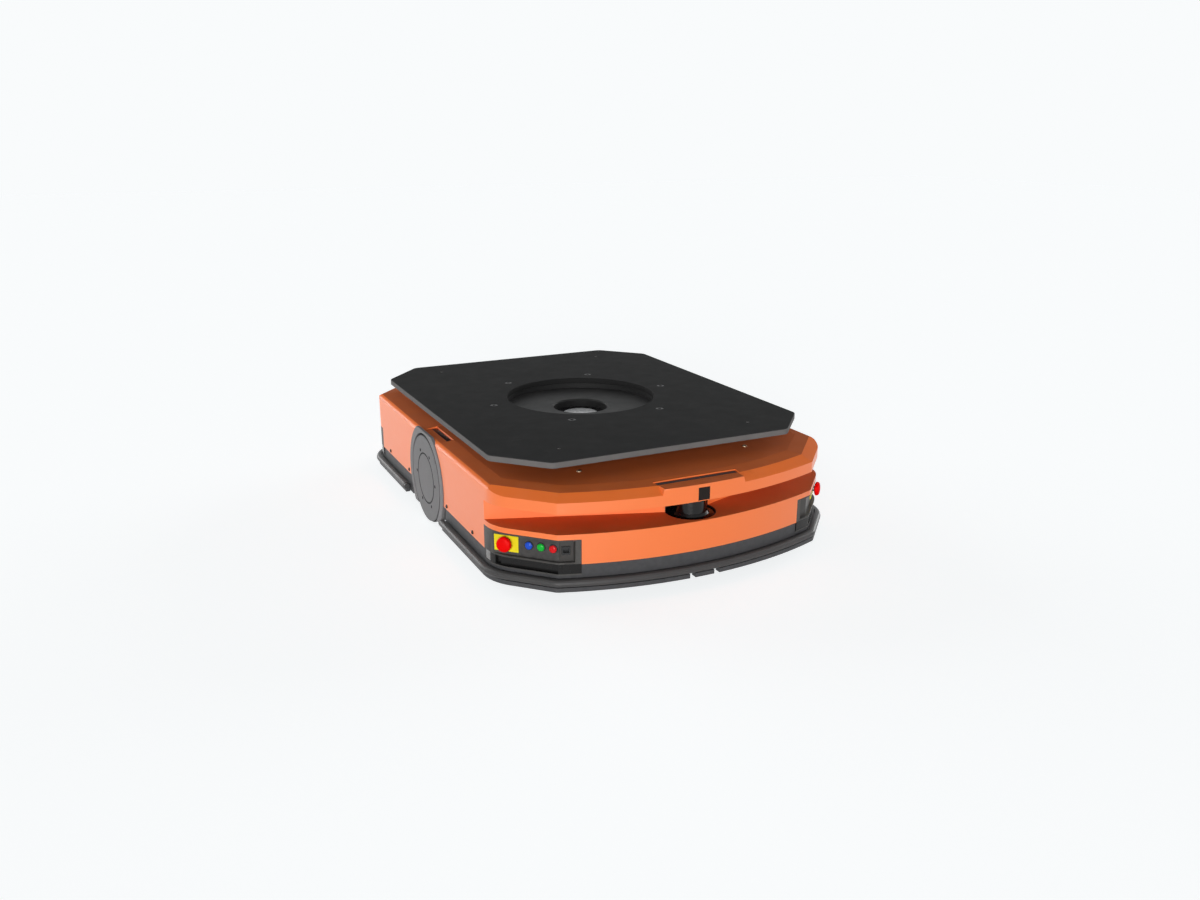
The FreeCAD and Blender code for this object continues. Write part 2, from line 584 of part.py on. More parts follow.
def button_panel():
    """Flat panel that carries the three round buttons (front left)."""
    plate = on_cut(box(PANEL_ALONG0, PANEL_ALONG1, PLATE_FACE, PANEL_DEPTH, PANEL_LOW, PANEL_HIGH))
    return plate.cut([on_cut_rod(BUTTON_R + 1.5, along, BUTTON_Z, 0, 20) for _, along in BUTTONS])


def button_bezels():
    rings = []
    for _, along in BUTTONS:
        outer = on_cut_rod(BUTTON_R + 1.5, along, BUTTON_Z, PLATE_FACE - 1.5, PANEL_DEPTH)
        rings.append(outer.cut(on_cut_rod(BUTTON_R + 0.35, along, BUTTON_Z, 0, 20)))
    return rings


def button(along):
    """Round push button: cap, and plunger into the console."""
    face, back = PLATE_FACE, PANEL_DEPTH - 2.6
    cap = [(0, face - 5.5), (4, face - 5.2), (BUTTON_R - 1, face - 4), (BUTTON_R, face - 2.5), (BUTTON_R, back)]
    profile = cap + [(BUTTON_STEM_R, back), (BUTTON_STEM_R, 16), (0, 16)]
    points = [Vec(along + r, depth, BUTTON_Z) for r, depth in profile]
    return on_cut(turned(points, Vec(along, 0, BUTTON_Z), Vec(0, 1, 0)))


def button_bores():
    return [on_cut_rod(BUTTON_STEM_R + RUN_FIT, along, BUTTON_Z, 0, 30) for _, along in BUTTONS]


# ---------------------------------------------------------------- lidar
WINDOW_LOW_Z, WINDOW_TOP_Z = 135.0, 161.0
WINDOW_LOW_R, WINDOW_TOP_R, WINDOW_T = 33.0, 29.0, 1.8


def lidar_base():
    """Scanner body below the slot, with its flange and the fixed cap on a rear post."""
    y, low, high = LIDAR_Y, WINDOW_LOW_Z, WINDOW_TOP_Z
    drum = [(0, 92), (40, 92), (44, 96), (44, 122), (49, 122), (49, 128)]
    body = turned_z(drum + [(37, 130), (34, low), (0, low)], 0, y)
    cap = turned_z([(0, high), (28, high), (35.5, 165), (35.5, 169), (33, 170.5), (0, 170.5)], 0, y)
    post = box(-12, 12, y + 22, y + 30, low - 1, high + 1)
    return join([body, cap, post])


def lidar_window():
    """Dark tinted scan window, a thin cone between body and cap."""
    low, high, y = WINDOW_LOW_Z, WINDOW_TOP_Z, LIDAR_Y
    outer = turned_z([(0, low), (WINDOW_LOW_R, low), (WINDOW_TOP_R, high), (0, high)], 0, y)
    in_low, in_top = WINDOW_LOW_R - WINDOW_T, WINDOW_TOP_R - WINDOW_T
    inner = turned_z([(0, low), (in_low, low), (in_top, high), (0, high)], 0, y)
    return outer.cut(inner).cut(box(-14, 14, y + 15, y + 40, low - 5, high + 5))


def lidar_mirror():
    """Spinning head inside the window: hub with its 45 degree mirror."""
    y, low = LIDAR_Y, WINDOW_LOW_Z + 1
    head = cyl(17, low, low + 22, 0, y)
    corners = [Vec(-20, y - 18, low + 4), Vec(-20, y + 18, low + 40), Vec(-20, y - 18, low + 40)]
    wedge = Part.Face(Part.makePolygon(corners + corners[:1]))
    return head.cut(wedge.extrude(Vec(40, 0, 0)))


# ---------------------------------------------------------------- bays inside the frame
BAY_FLOOR_Z = PAN_Z + PAN_T
CONTACT_LEVELS = (94.5, 109.5)


def battery_pack():
    """Battery case with its lid and two lifting handles."""
    case = box(-165, 165, -420, -190, BAY_FLOOR_Z, 150)
    lid = box(-160, 160, -415, -195, 150, 156)
    handles = []
    for x in (-110, 110):
        bow = box(x - 6, x + 6, -340, -270, 156, 170)
        handles.append(bow.cut(box(x - 7, x + 7, -330, -280, 150, 162)))
    return join([case, lid] + handles)


def control_box():
    """Controller case with cooling fins along its top."""
    case = box(-150, 150, 345, 420, BAY_FLOOR_Z, 140)
    fins = [box(-140 + 20 * k, -136 + 20 * k, 350, 415, 140, 152) for k in range(15)]
    return join([case] + fins)


def contact_rails():
    """Two copper rails that the charging station touches."""
    face_y = HALF_L - 0.5
    return [box(-50, 50, face_y - 5, face_y, z - 2.5, z + 2.5) for z in CONTACT_LEVELS]


def charge_contacts():
    """Insulating block at the tail that holds the contact rails."""
    block = box(-62, 62, HALF_L - 19, HALF_L, 84, 120).common(slab(-2, 80, 125))
    return block.cut(contact_rails())


# ---------------------------------------------------------------- lift
SCREW_POINTS = [on_circle(SCREW_PCR, a) for a in SCREW_ANGLES]
LIFT_PAN_Z = PAN_Z + PAN_T
BELT_LOW, BELT_HIGH = 47.0, 59.0
SCREW_TOP = 192.0
GUIDE_R = 12.0
JOURNAL_R = 7.0
GUIDE_POINTS = [(sign * 104.0, -60.0) for sign in (-1, 1)]


def pulley_profile():
    """Toothed pulley with its two flanges, from the bottom flange to the top one."""
    low, high, rim = BELT_LOW, BELT_HIGH, PULLEY_R + 3
    lower = [(rim, low - 2), (rim, low - 0.5), (PULLEY_R, low - 0.5)]
    return lower + [(PULLEY_R, high + 0.5), (rim, high + 0.5), (rim, high + 2)]


def lift_base():
    """Bearing plate of the lift with its bearing housings and the guide columns."""
    low, high = LIFT_PAN_Z, LIFT_PAN_Z + 8
    parts = [cyl(185, low, high).fuse(box(-50, 50, 0, MOTOR_XY[1] + 40, low, high))]
    parts += [cyl(17, high, BELT_LOW - 3, x, y) for x, y in SCREW_POINTS]
    parts += [cyl(GUIDE_R, high, SCREW_TOP, x, y) for x, y in GUIDE_POINTS]
    journals = [cyl(JOURNAL_R + RUN_FIT, low + 2, BELT_LOW, x, y) for x, y in SCREW_POINTS]
    return join(parts).cut(journals)


def lift_screw(x, y):
    """Ball screw with its journal and toothed belt pulley."""
    foot, shoulder = LIFT_PAN_Z + 2, BELT_HIGH + 2
    journal = [(0, foot), (JOURNAL_R, foot), (JOURNAL_R, BELT_LOW - 2)]
    rod = [(SCREW_R, shoulder), (SCREW_R, SCREW_TOP), (0, SCREW_TOP)]
    return turned_z(journal + pulley_profile() + rod, x, y)


def lift_motor():
    """Upright servo motor over the drive pulley, on four posts."""
    x, y = MOTOR_XY
    body = cyl(34, 72, 176, x, y)
    flange = box(x - 38, x + 38, y - 38, y + 38, 66, 72)
    posts = [cyl(4, LIFT_PAN_Z + 8, 66, x + sx * 33, y + sy * 33) for sx in (-1, 1) for sy in (-1, 1)]
    return join([body, flange] + posts).cut(cyl(JOURNAL_R + RUN_FIT, 60, 90, x, y))


def lift_pulley():
    """Drive pulley on the motor's shaft."""
    x, y = MOTOR_XY
    shaft = [(JOURNAL_R, BELT_HIGH + 2), (JOURNAL_R, 88), (0, 88)]
    return turned_z([(0, BELT_LOW - 2)] + pulley_profile() + shaft, x, y)


def lift_belt():
    """Toothed belt round the three screw pulleys and the motor pulley."""
    centres = [SCREW_POINTS[0], SCREW_POINTS[1], MOTOR_XY, SCREW_POINTS[2]]
    points = [Vec(x, y, BELT_LOW) for x, y in centres]
    path = Part.Face(Part.makePolygon(points + points[:1]))
    inner = path.makeOffset2D(PULLEY_R + 0.3)
    outer = path.makeOffset2D(PULLEY_R + 2.8)
    return outer.cut(inner).extrude(Vec(0, 0, BELT_HIGH - BELT_LOW))


NUT_R, NUT_LOW_Z = 19.0, 66.0
TABLE_LOW_Z, EAR_R = 200.0, 45.0
BEARING_R, BEARING_TOP_Z = 197.0, 236.0


def sleeve(x, y):
    """Nut sleeve of one lift screw, close on the screw only over the nut's length."""
    low, top, wide, close = NUT_LOW_Z, TABLE_LOW_Z, SCREW_R + 2, SCREW_R + RUN_FIT
    nut_top = low + 30
    return turned_z([(close, low), (NUT_R, low), (NUT_R, top), (wide, top), (wide, nut_top), (close, nut_top)], x, y)


def lift_table():
    """Table in its parts: floor with a rim, bearing race, motor ear, nut sleeves and guide bushes."""
    top, low = TABLE_TOP_Z, TABLE_LOW_Z
    rim = [(205, low), (205, 212), (177, 212), (177, top)]
    floor = turned_z([(63, low)] + rim + [(66, top), (63, top - 3)])
    race = tube(177, BEARING_R, 212, BEARING_TOP_Z)
    ear = box(-EAR_R, EAR_R, 150, PINION_Y, low, 211).fuse(cyl(EAR_R, low, 211, 0, PINION_Y))
    ear = ear.cut([cyl(205, 190, 220), cyl(14, 190, 220, 0, PINION_Y)])
    holes = [cyl(SCREW_R + 2, low - 1, low + 6, x, y) for x, y in SCREW_POINTS]
    holes += [cyl(GUIDE_R + RUN_FIT, low - 1, low + 6, x, y) for x, y in GUIDE_POINTS]
    bushes = [tube(GUIDE_R + RUN_FIT, GUIDE_R + 8, 140, low, x, y) for x, y in GUIDE_POINTS]
    return Part.makeCompound([floor.cut(holes), race, ear] + [sleeve(x, y) for x, y in SCREW_POINTS] + bushes)


def camera_unit():
    """Upward camera in its cup below the bore of the table."""
    low = TABLE_LOW_Z
    cup = [(0, 150), (30, 150), (34, 154), (34, 186), (74, 192), (74, low), (62.5, low), (62.5, low + 6)]
    return turned_z(cup + [(40, low + 6), (40, low + 3), (0, low + 3)])


def camera_window():
    return cyl(39.5, TABLE_LOW_Z + 3, TABLE_LOW_Z + 7.5)


def turntable_motor():
    """Gearmotor that hangs from the ear of the table."""
    x, y = 0, PINION_Y
    body = cyl(33, 96, 188, x, y)
    flange = box(-36, 36, y - 36, y + 36, 188, 200)
    return join([body, flange]).cut(cyl(9 + RUN_FIT, 170, 201, x, y))


def gear_outline(teeth, z):
    """Face of a spur gear with straight-flanked teeth, one tooth on +X, thinned for backlash."""
    pitch_r = GEAR_MODULE * teeth / 2
    root_r, tip_r = pitch_r - 1.2 * GEAR_MODULE, pitch_r + 0.9 * GEAR_MODULE
    step = 2 * math.pi / teeth
    root_half, tip_half = step * 0.375 * TOOTH_THIN, step * 0.125 * TOOTH_THIN
    points = []
    for k in range(teeth):
        mid = k * step
        tooth = ((root_r, -root_half), (tip_r, -tip_half), (tip_r, tip_half), (root_r, root_half))
        for r, a in tooth:
            points.append(Vec(r * math.cos(mid + a), r * math.sin(mid + a), z))
    return Part.Face(Part.makePolygon(points + points[:1]))


def ring_gear():
    """Outer race of the slewing ring with its gear teeth."""
    gear = gear_outline(RING_TEETH, 216).extrude(Vec(0, 0, 22))
    half_pitch = 180.0 / RING_TEETH
    gear.rotate(Vec(0, 0, 0), UP, 90 + half_pitch)
    screws = [cyl(3.4, 215, 239, *on_circle(PLATE_SCREW_R, 60 * k)) for k in range(6)]
    return gear.cut([cyl(BEARING_R + 0.4, 210, 240)] + screws)


def pinion():
    """Pinion in mesh with the ring gear, on the gearmotor's shaft."""
    gear = gear_outline(PINION_TEETH, 218).extrude(Vec(0, 0, 18))
    gear.rotate(Vec(0, 0, 0), UP, -90)
    gear.translate(Vec(0, PINION_Y, 0))
    return gear.fuse(cyl(9, 175, 219, 0, PINION_Y))


def countersunk(x, y):
    """Cutter for one countersunk plate screw."""
    low, top = LOAD_Z - PLATE_T, LOAD_Z
    bore = [(0, low - 1), (4.5, low - 1), (4.5, top - 5)]
    return turned_z(bore + [(9.5, top), (9.5, top + 1), (0, top + 1)], x, y)


def load_plate():
    """Load plate with its centre bore, six countersunk holes and four tapped load holes."""
    w, l, cx, cy = PLATE_HALF_W, PLATE_HALF_L, PLATE_CUT_X, PLATE_CUT_Y
    low, top = LOAD_Z - PLATE_T, LOAD_Z
    half = [(w, cy - l), (w, l - cy), (w - cx, l), (cx - w, l)]
    outline = [Vec(x, y, low) for x, y in half + [(-x, -y) for x, y in half]]
    plate = Part.Face(Part.makePolygon(outline + outline[:1])).extrude(Vec(0, 0, PLATE_T))
    upright = [e for e in plate.Edges if abs(e.Vertexes[0].Z - e.Vertexes[1].Z) > 1]
    plate = plate.makeFillet(PLATE_CORNER_R, upright)
    top_rim = [e for e in plate.Edges if e.BoundBox.ZMin > top - 0.1]
    plate = plate.makeChamfer(1.0, top_rim)
    bore_r = PLATE_BORE_R
    bore = [(0, low - 1), (bore_r, low - 1), (bore_r, top - 1), (bore_r + 2, top + 1), (0, top + 1)]
    cutters = [turned_z(bore)] + [countersunk(*on_circle(PLATE_SCREW_R, 60 * k)) for k in range(6)]
    for x in (-LOAD_HOLE_X, LOAD_HOLE_X):
        cutters += [cyl(3.4, low - 1, top + 1, x, y) for y in (-LOAD_HOLE_Y, LOAD_HOLE_Y)]
    return plate.cut(cutters)


# ---------------------------------------------------------------- files
def save_body():
    front, rear = covers()
    save("base_frame", base_frame())
    save("front_cover", front)
    save("rear_cover", rear.cut(box(-63, 63, HALF_L - 30, HALF_L + 9, 83, 121)))
    save("charge_contacts", charge_contacts())
    save("contact_rails", Part.makeCompound(contact_rails()))
    front_bumper, rear_bumper = bumpers()
    save("front_bumper", front_bumper)
    save("rear_bumper", rear_bumper)
    save("bumper_rails", Part.makeCompound(bumper_rails()))
    save("bumper_end_plugs", Part.makeCompound(bumper_end_plugs()))


def save_running_gear():
    drive = {"fairing": fairing(), "wheel": wheel_disc(), "tyre": wheel_tyre(), "drive_unit": drive_unit()}
    for name, shape in drive.items():
        save("right_" + name, shape)
        save("left_" + name, left_of(shape))
    for x in (-CASTER_X, CASTER_X):
        for y in (-CASTER_Y, CASTER_Y):
            name = ("front" if y < 0 else "rear") + ("_right" if x > 0 else "_left")
            save(name + "_caster_fork", caster_fork(x, y))
            save(name + "_caster_wheel", caster_wheel(x, y))


def save_consoles():
    shell, plate, stem, head = console(), estop_plate(), estop_stem(), estop_head()
    save("front_left_console", shell.cut([estop_bore(), port_room()] + button_bores()))
    save("front_right_console", left_of(shell.cut(estop_bore())))
    save("rear_left_console", rear_of(shell))
    save("rear_right_console", rear_of(left_of(shell)))
    save("corner_lamps", Part.makeCompound(corners_of(left_of(corner_lamp()))))
    save("estop_plates", Part.makeCompound([plate, left_of(plate)]))
    save("left_estop_stem", stem)
    save("right_estop_stem", left_of(stem))
    save("left_estop_head", head)
    save("right_estop_head", left_of(head))
    save("button_panel", button_panel())
    save("button_bezels", Part.makeCompound(button_bezels()))
    for name, along in BUTTONS:
        save(name, button(along))
    save("io_port", io_port())


def save_inner_parts():
    save("lidar_base", lidar_base())
    save("lidar_window", lidar_window())
    save("lidar_mirror", lidar_mirror())
    save("battery_pack", battery_pack())
    save("control_box", control_box())
    save("lift_base", lift_base())
    save("lift_motor", lift_motor())
    save("lift_pulley", lift_pulley())
    save("lift_belt", lift_belt())
    for k, (x, y) in enumerate(SCREW_POINTS):
        save("lift_screw_%d" % (k + 1), lift_screw(x, y))
    save("lift_table", lift_table())
    save("camera_unit", camera_unit())
    save("camera_window", camera_window())
    save("turntable_motor", turntable_motor())
    save("pinion", pinion())
    save("ring_gear", ring_gear())
    save("load_plate", load_plate())


os.makedirs("parts", exist_ok=True)
save_body()
save_running_gear()
save_consoles()
save_inner_parts()
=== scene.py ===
import json
import math
import bpy
import bmesh
from mathutils import Matrix, Vector


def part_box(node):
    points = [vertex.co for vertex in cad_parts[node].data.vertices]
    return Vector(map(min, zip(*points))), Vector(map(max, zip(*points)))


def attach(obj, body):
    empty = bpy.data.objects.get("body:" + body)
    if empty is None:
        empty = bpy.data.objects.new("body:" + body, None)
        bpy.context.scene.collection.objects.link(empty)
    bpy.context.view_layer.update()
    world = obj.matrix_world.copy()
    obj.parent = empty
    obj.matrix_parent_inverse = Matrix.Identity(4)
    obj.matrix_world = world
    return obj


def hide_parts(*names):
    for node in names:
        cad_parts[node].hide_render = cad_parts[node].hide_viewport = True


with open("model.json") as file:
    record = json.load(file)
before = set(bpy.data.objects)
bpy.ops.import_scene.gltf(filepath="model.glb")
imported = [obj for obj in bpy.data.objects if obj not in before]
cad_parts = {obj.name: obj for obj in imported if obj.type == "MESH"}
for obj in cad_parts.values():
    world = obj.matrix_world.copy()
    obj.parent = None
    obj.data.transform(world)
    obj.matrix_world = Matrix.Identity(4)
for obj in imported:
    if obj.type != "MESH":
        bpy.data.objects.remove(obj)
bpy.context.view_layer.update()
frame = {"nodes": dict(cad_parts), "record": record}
nodes = frame["nodes"]


# ======================================================================
# Base frame and bumper rails: folded steel sheet, bolted and welded, with
# a baked powder coat in dark grey whose fine grain scatters the light.
# ======================================================================
class Number:
    """A value socket of a material; arithmetic on it adds Math nodes."""

    def __init__(self, tree, socket):
        self.tree, self.socket = tree, socket

    def _math(self, operation, first, second):
        node = self.tree.nodes.new("ShaderNodeMath")
        node.operation = operation
        for slot, value in zip(node.inputs, (first, second)):
            if isinstance(value, Number):
                self.tree.links.new(value.socket, slot)
            else:
                slot.default_value = value
        return Number(self.tree, node.outputs[0])

    def __add__(self, other):
        return self._math("ADD", self, other)

    def __radd__(self, other):
        return self._math("ADD", other, self)

    def __sub__(self, other):
        return self._math("SUBTRACT", self, other)

    def __rsub__(self, other):
        return self._math("SUBTRACT", other, self)

    def __mul__(self, other):
        return self._math("MULTIPLY", self, other)

    def clipped(self):
        node = self.tree.nodes.new("ShaderNodeClamp")
        self.tree.links.new(self.socket, node.inputs["Value"])
        return Number(self.tree, node.outputs[0])


class Finish:
    """One procedural material, built up socket by socket."""

    def __init__(self, name, roughness=0.5, metallic=0.0, **fixed):
        self.material = bpy.data.materials.new(name)
        self.material.use_nodes = True
        self.tree = self.material.node_tree
        self.surface = self.tree.nodes["Principled BSDF"]
        self.surface.inputs["Roughness"].default_value = roughness
        self.surface.inputs["Metallic"].default_value = metallic
        for socket, value in fixed.items():
            self.surface.inputs[socket.replace("_", " ")].default_value = value
        self.place = self.node("ShaderNodeTexCoord", {}, {}).outputs["Object"]

    def node(self, kind, settings, inputs):
        made = self.tree.nodes.new(kind)
        for key, value in settings.items():
            setattr(made, key, value)
        for key, value in inputs.items():
            self.feed(made.inputs[key], value)
        return made

    def feed(self, socket, value):
        if isinstance(value, Number):
            value = value.socket
        if isinstance(value, bpy.types.NodeSocket):
            self.tree.links.new(value, socket)
        else:
            socket.default_value = value

    def stretched(self, scale, centre=(0, 0, 0)):
        """Object coordinates measured from a centre and scaled along each axis."""
        moved = self.node("ShaderNodeVectorMath", {"operation": "SUBTRACT"}, {0: self.place, 1: centre})
        return self.node("ShaderNodeMapping", {}, {"Vector": moved.outputs[0], "Scale": scale}).outputs[0]

    def noise(self, scale, detail=3.0, where=None):
        inputs = {"Vector": where or self.place, "Scale": scale, "Detail": detail}
        made = self.node("ShaderNodeTexNoise", {}, inputs)
        return Number(self.tree, made.outputs["Fac"])

    def grain(self, scale):
        """Pebbled cells, 0 in the middle of each."""
        made = self.node("ShaderNodeTexVoronoi", {}, {"Vector": self.place, "Scale": scale})
        return Number(self.tree, made.outputs["Distance"])

    def radius_about(self, axis, centre):
        """Distance from a line through the centre along the axis, for turned faces."""
        keep = [0.0 if a == axis else 1.0 for a in "XYZ"]
        across = self.stretched(keep, centre)
        length = self.node("ShaderNodeVectorMath", {"operation": "LENGTH"}, {0: across})
        return Number(self.tree, length.outputs["Value"])

    def facing(self, direction):
        """1 where the surface looks along the direction, 0 where it looks away."""
        normal = self.node("ShaderNodeNewGeometry", {}, {}).outputs["Normal"]
        dot = self.node("ShaderNodeVectorMath", {"operation": "DOT_PRODUCT"}, {0: normal, 1: direction})
        return Number(self.tree, dot.outputs["Value"]).clipped()

    def wave(self, value, count):
        """Sine of a value, 0 to 1, count times per metre."""
        sine = self.node("ShaderNodeMath", {"operation": "SINE"}, {0: value * (count * 2 * math.pi)})
        return Number(self.tree, sine.outputs[0]) * 0.5 + 0.5

    def between(self, value, low, high):
        """0 below low, 1 above high, smooth in between."""
        made = self.node("ShaderNodeMapRange", {"interpolation_type": "SMOOTHSTEP"},
                         {"Value": value, "From Min": low, "From Max": high})
        return Number(self.tree, made.outputs["Result"])

    def height(self):
        """Height above the floor."""
        split = self.node("ShaderNodeSeparateXYZ", {}, {"Vector": self.place})
        return Number(self.tree, split.outputs["Z"])

    def blend(self, factor, first, second):
        made = self.node("ShaderNodeMix", {"data_type": "RGBA"}, {"Factor": factor})
        self.feed(made.inputs[6], first)
        self.feed(made.inputs[7], second)
        return made.outputs[2]

    def worn(self, colour, bare, amount=0.5):
        """Paler where edges stand proud, as handling leaves them."""
        point = self.node("ShaderNodeNewGeometry", {}, {}).outputs["Pointiness"]
        edge = self.between(Number(self.tree, point), 0.53, 0.62) * self.noise(90.0) * amount
        return self.blend(edge.clipped(), colour, bare)

    def dusted(self, colour, amount=0.08):
        """A thin film of dust on what looks up."""
        film = self.facing((0, 0, 1)) * self.between(self.noise(22.0, 5.0), 0.42, 0.8) * amount
        return self.blend(film.clipped(), colour, shade(150, 146, 140))

    def colour(self, value):
        self.feed(self.surface.inputs["Base Color"], value)

    def rough(self, value):
        self.feed(self.surface.inputs["Roughness"], value)

    def bump(self, height, distance, strength=1.0):
        inputs = {"Height": height, "Distance": distance, "Strength": strength}
        made = self.node("ShaderNodeBump", {}, inputs)
        self.feed(self.surface.inputs["Normal"], made.outputs["Normal"])
        return self


def shade(red, green, blue):
    """A paint chip's screen values, 0 to 255, as the linear colour a shader takes."""
    def linear(c):
        c = c / 255
        return c / 12.92 if c <= 0.04045 else ((c + 0.055) / 1.055) ** 2.4
    return (linear(red), linear(green), linear(blue), 1.0)


def tones(finish, red, green, blue, spread, scale=7.0):
    """Slightly uneven colour: slow clouds with a little fine speckle."""
    mask = finish.noise(scale, 4.0) * 0.7 + finish.noise(900.0, 2.0) * 0.3
    dark = [channel * (1 - spread) for channel in (red, green, blue)]
    light = [channel * (1 + spread) for channel in (red, green, blue)]
    return finish.blend(mask, shade(*dark), shade(*light))


def powder_coat(name, red, green, blue, roughness=0.5, **fixed):
    """Baked powder coat with a fine pebbled grain, a little dust and paler edges."""
    coat = Finish(name, **fixed)
    base = coat.worn(tones(coat, red, green, blue, 0.05), shade(150, 150, 152), 0.12)
    coat.colour(coat.dusted(base))
    coat.rough(coat.noise(35.0) * 0.16 + (roughness - 0.08))
    return coat.bump(coat.grain(850.0) * 0.6 + coat.noise(900.0, 2.0) * 0.4, 0.00006, 0.3)


def dress(finish, *names):
    """Give CAD nodes a finish."""
    for name in names:
        materials = nodes[name].data.materials
        materials.clear()
        materials.append(finish.material)


def link(name, mesh, finish, body):
    """Put a finished mesh on a body as a piece of its own."""
    piece = bpy.data.objects.new(name, mesh)
    bpy.context.scene.collection.objects.link(piece)
    mesh.materials.clear()
    mesh.materials.append(finish.material)
    mesh.shade_smooth()
    mesh.set_sharp_from_angle(angle=math.radians(32.0))
    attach(piece, body)


def screw_head(name, profile, socket_radius, socket_depth):
    """A screw head of radius 1 about +Z: rings of the profile, then a hexagon socket."""
    count = 24
    work = bmesh.new()

    def ring(radius_at, z):
        made = []
        for k in range(count):
            a = 2 * math.pi * k / count
            made.append(work.verts.new((radius_at(a) * math.cos(a), radius_at(a) * math.sin(a), z)))
        return made

    def hexagon(a):
        off_flat = (a + math.pi / 6) % (math.pi / 3) - math.pi / 6
        return socket_radius * math.cos(math.pi / 6) / math.cos(off_flat)

    rings = [ring(lambda a, r=r: r, z) for r, z in profile]
    top = profile[-1][1]
    rings += [ring(hexagon, top), ring(hexagon, top - socket_depth)]
    for lower, upper in zip(rings, rings[1:]):
        for k in range(count):
            work.faces.new((lower[k], lower[(k + 1) % count], upper[(k + 1) % count], upper[k]))
    work.faces.new(rings[-1])
    work.faces.new(list(reversed(rings[0])))
    mesh = bpy.data.meshes.new(name)
    work.to_mesh(mesh)
    work.free()
    return bpy.data.objects.new(name, mesh)


# radius and height of each ring, for a head of radius 1
BUTTON_PROFILE = ((0.98, -0.2), (1.0, 0.1), (0.9, 0.32), (0.72, 0.48), (0.6, 0.52))
FLUSH_PROFILE = ((0.55, -0.5), (0.97, -0.08), (0.99, 0.0), (0.56, 0.0))
CAP_PROFILE = ((1.0, -1.0), (1.0, -0.1), (0.93, 0.0), (0.64, 0.0))
button_head = screw_head("button_head", BUTTON_PROFILE, 0.5, 0.3)
flush_head = screw_head("flush_head", FLUSH_PROFILE, 0.5, 0.35)
cap_head = screw_head("cap_head", CAP_PROFILE, 0.6, 0.6)


def screw_tree():
    """Nodes that stand a screw head on each point, square to the surface, each turned differently."""
    tree = bpy.data.node_groups.new("screws_on_points", "GeometryNodeTree")
    face = tree.interface
    face.new_socket("Points", in_out="INPUT", socket_type="NodeSocketGeometry")
    face.new_socket("Head", in_out="INPUT", socket_type="NodeSocketObject")
    face.new_socket("Head Radius", in_out="INPUT", socket_type="NodeSocketFloat")
    face.new_socket("Turn Seed", in_out="INPUT", socket_type="NodeSocketInt")
    face.new_socket("Finish", in_out="INPUT", socket_type="NodeSocketMaterial")
    face.new_socket("Screws", in_out="OUTPUT", socket_type="NodeSocketGeometry")

    def add(kind, settings=None, **links):
        made = tree.nodes.new(kind)
        for key, value in (settings or {}).items():
            setattr(made, key, value)
        for key, value in links.items():
            tree.links.new(value, made.inputs[key.replace("_", " ")])
        return made

    given = add("NodeGroupInput")
    head = add("GeometryNodeObjectInfo", Object=given.outputs["Head"])
    outward = add("GeometryNodeInputNamedAttribute", {"data_type": "FLOAT_VECTOR"})
    outward.inputs["Name"].default_value = "outward"
    upright = add("FunctionNodeAlignRotationToVector", {"axis": "Z"}, Vector=outward.outputs[0])
    turn = add("FunctionNodeRandomValue", {"data_type": "FLOAT"}, Seed=given.outputs["Turn Seed"])
    turn.inputs[3].default_value = math.pi / 3
    spin = add("FunctionNodeAxisAngleToRotation", Angle=turn.outputs[1])
    spin.inputs["Axis"].default_value = (0, 0, 1)
    both = add("FunctionNodeRotateRotation", {"rotation_space": "LOCAL"}, Rotation=upright.outputs[0])
    tree.links.new(spin.outputs[0], both.inputs[1])
    standing = add("GeometryNodeInstanceOnPoints", Points=given.outputs["Points"],
                   Instance=head.outputs["Geometry"], Rotation=both.outputs[0],
                   Scale=given.outputs["Head Radius"])
    real = add("GeometryNodeRealizeInstances", Geometry=standing.outputs[0])
    painted = add("GeometryNodeSetMaterial", Geometry=real.outputs[0], Material=given.outputs["Finish"])
    add("NodeGroupOutput", Screws=painted.outputs[0])
    return tree


screws_on_points = screw_tree()


def screws(name, head, radius, places, finish, body, seed=3):
    """One set of screws on one body: places are (point, direction it looks) pairs."""
    mesh = bpy.data.meshes.new(name + "_points")
    mesh.from_pydata([point for point, _ in places], [], [])
    outward = mesh.attributes.new("outward", "FLOAT_VECTOR", "POINT")
    for k, (_, direction) in enumerate(places):
        outward.data[k].vector = direction
    seat = bpy.data.objects.new(name + "_points", mesh)
    bpy.context.scene.collection.objects.link(seat)
    stand = seat.modifiers.new("screws", "NODES")
    stand.node_group = screws_on_points
    inputs = {"Head": head, "Head Radius": radius, "Turn Seed": seed, "Finish": finish.material}
    for item in screws_on_points.interface.items_tree:
        if item.name in inputs:
            stand[item.identifier] = inputs[item.name]
    ready = seat.evaluated_get(bpy.context.evaluated_depsgraph_get())
    result = bpy.data.meshes.new_from_object(ready)
    result.name = name
    bpy.data.objects.remove(seat)
    link(name, result, finish, body)


def brushed_metal(name, red, green, blue, roughness=0.32, metallic=0.9):
    """Machined or ground metal: fine directional marks and a few duller patches."""
    metal = Finish(name, metallic=metallic)
    metal.colour(tones(metal, red, green, blue, 0.07, 14.0))
    marks = metal.noise(1.0, 4.0, metal.stretched((60.0, 1400.0, 1400.0)))
    metal.rough(marks * 0.18 + metal.noise(18.0) * 0.12 + (roughness - 0.14))
    return metal.bump(marks, 0.00002, 0.3)


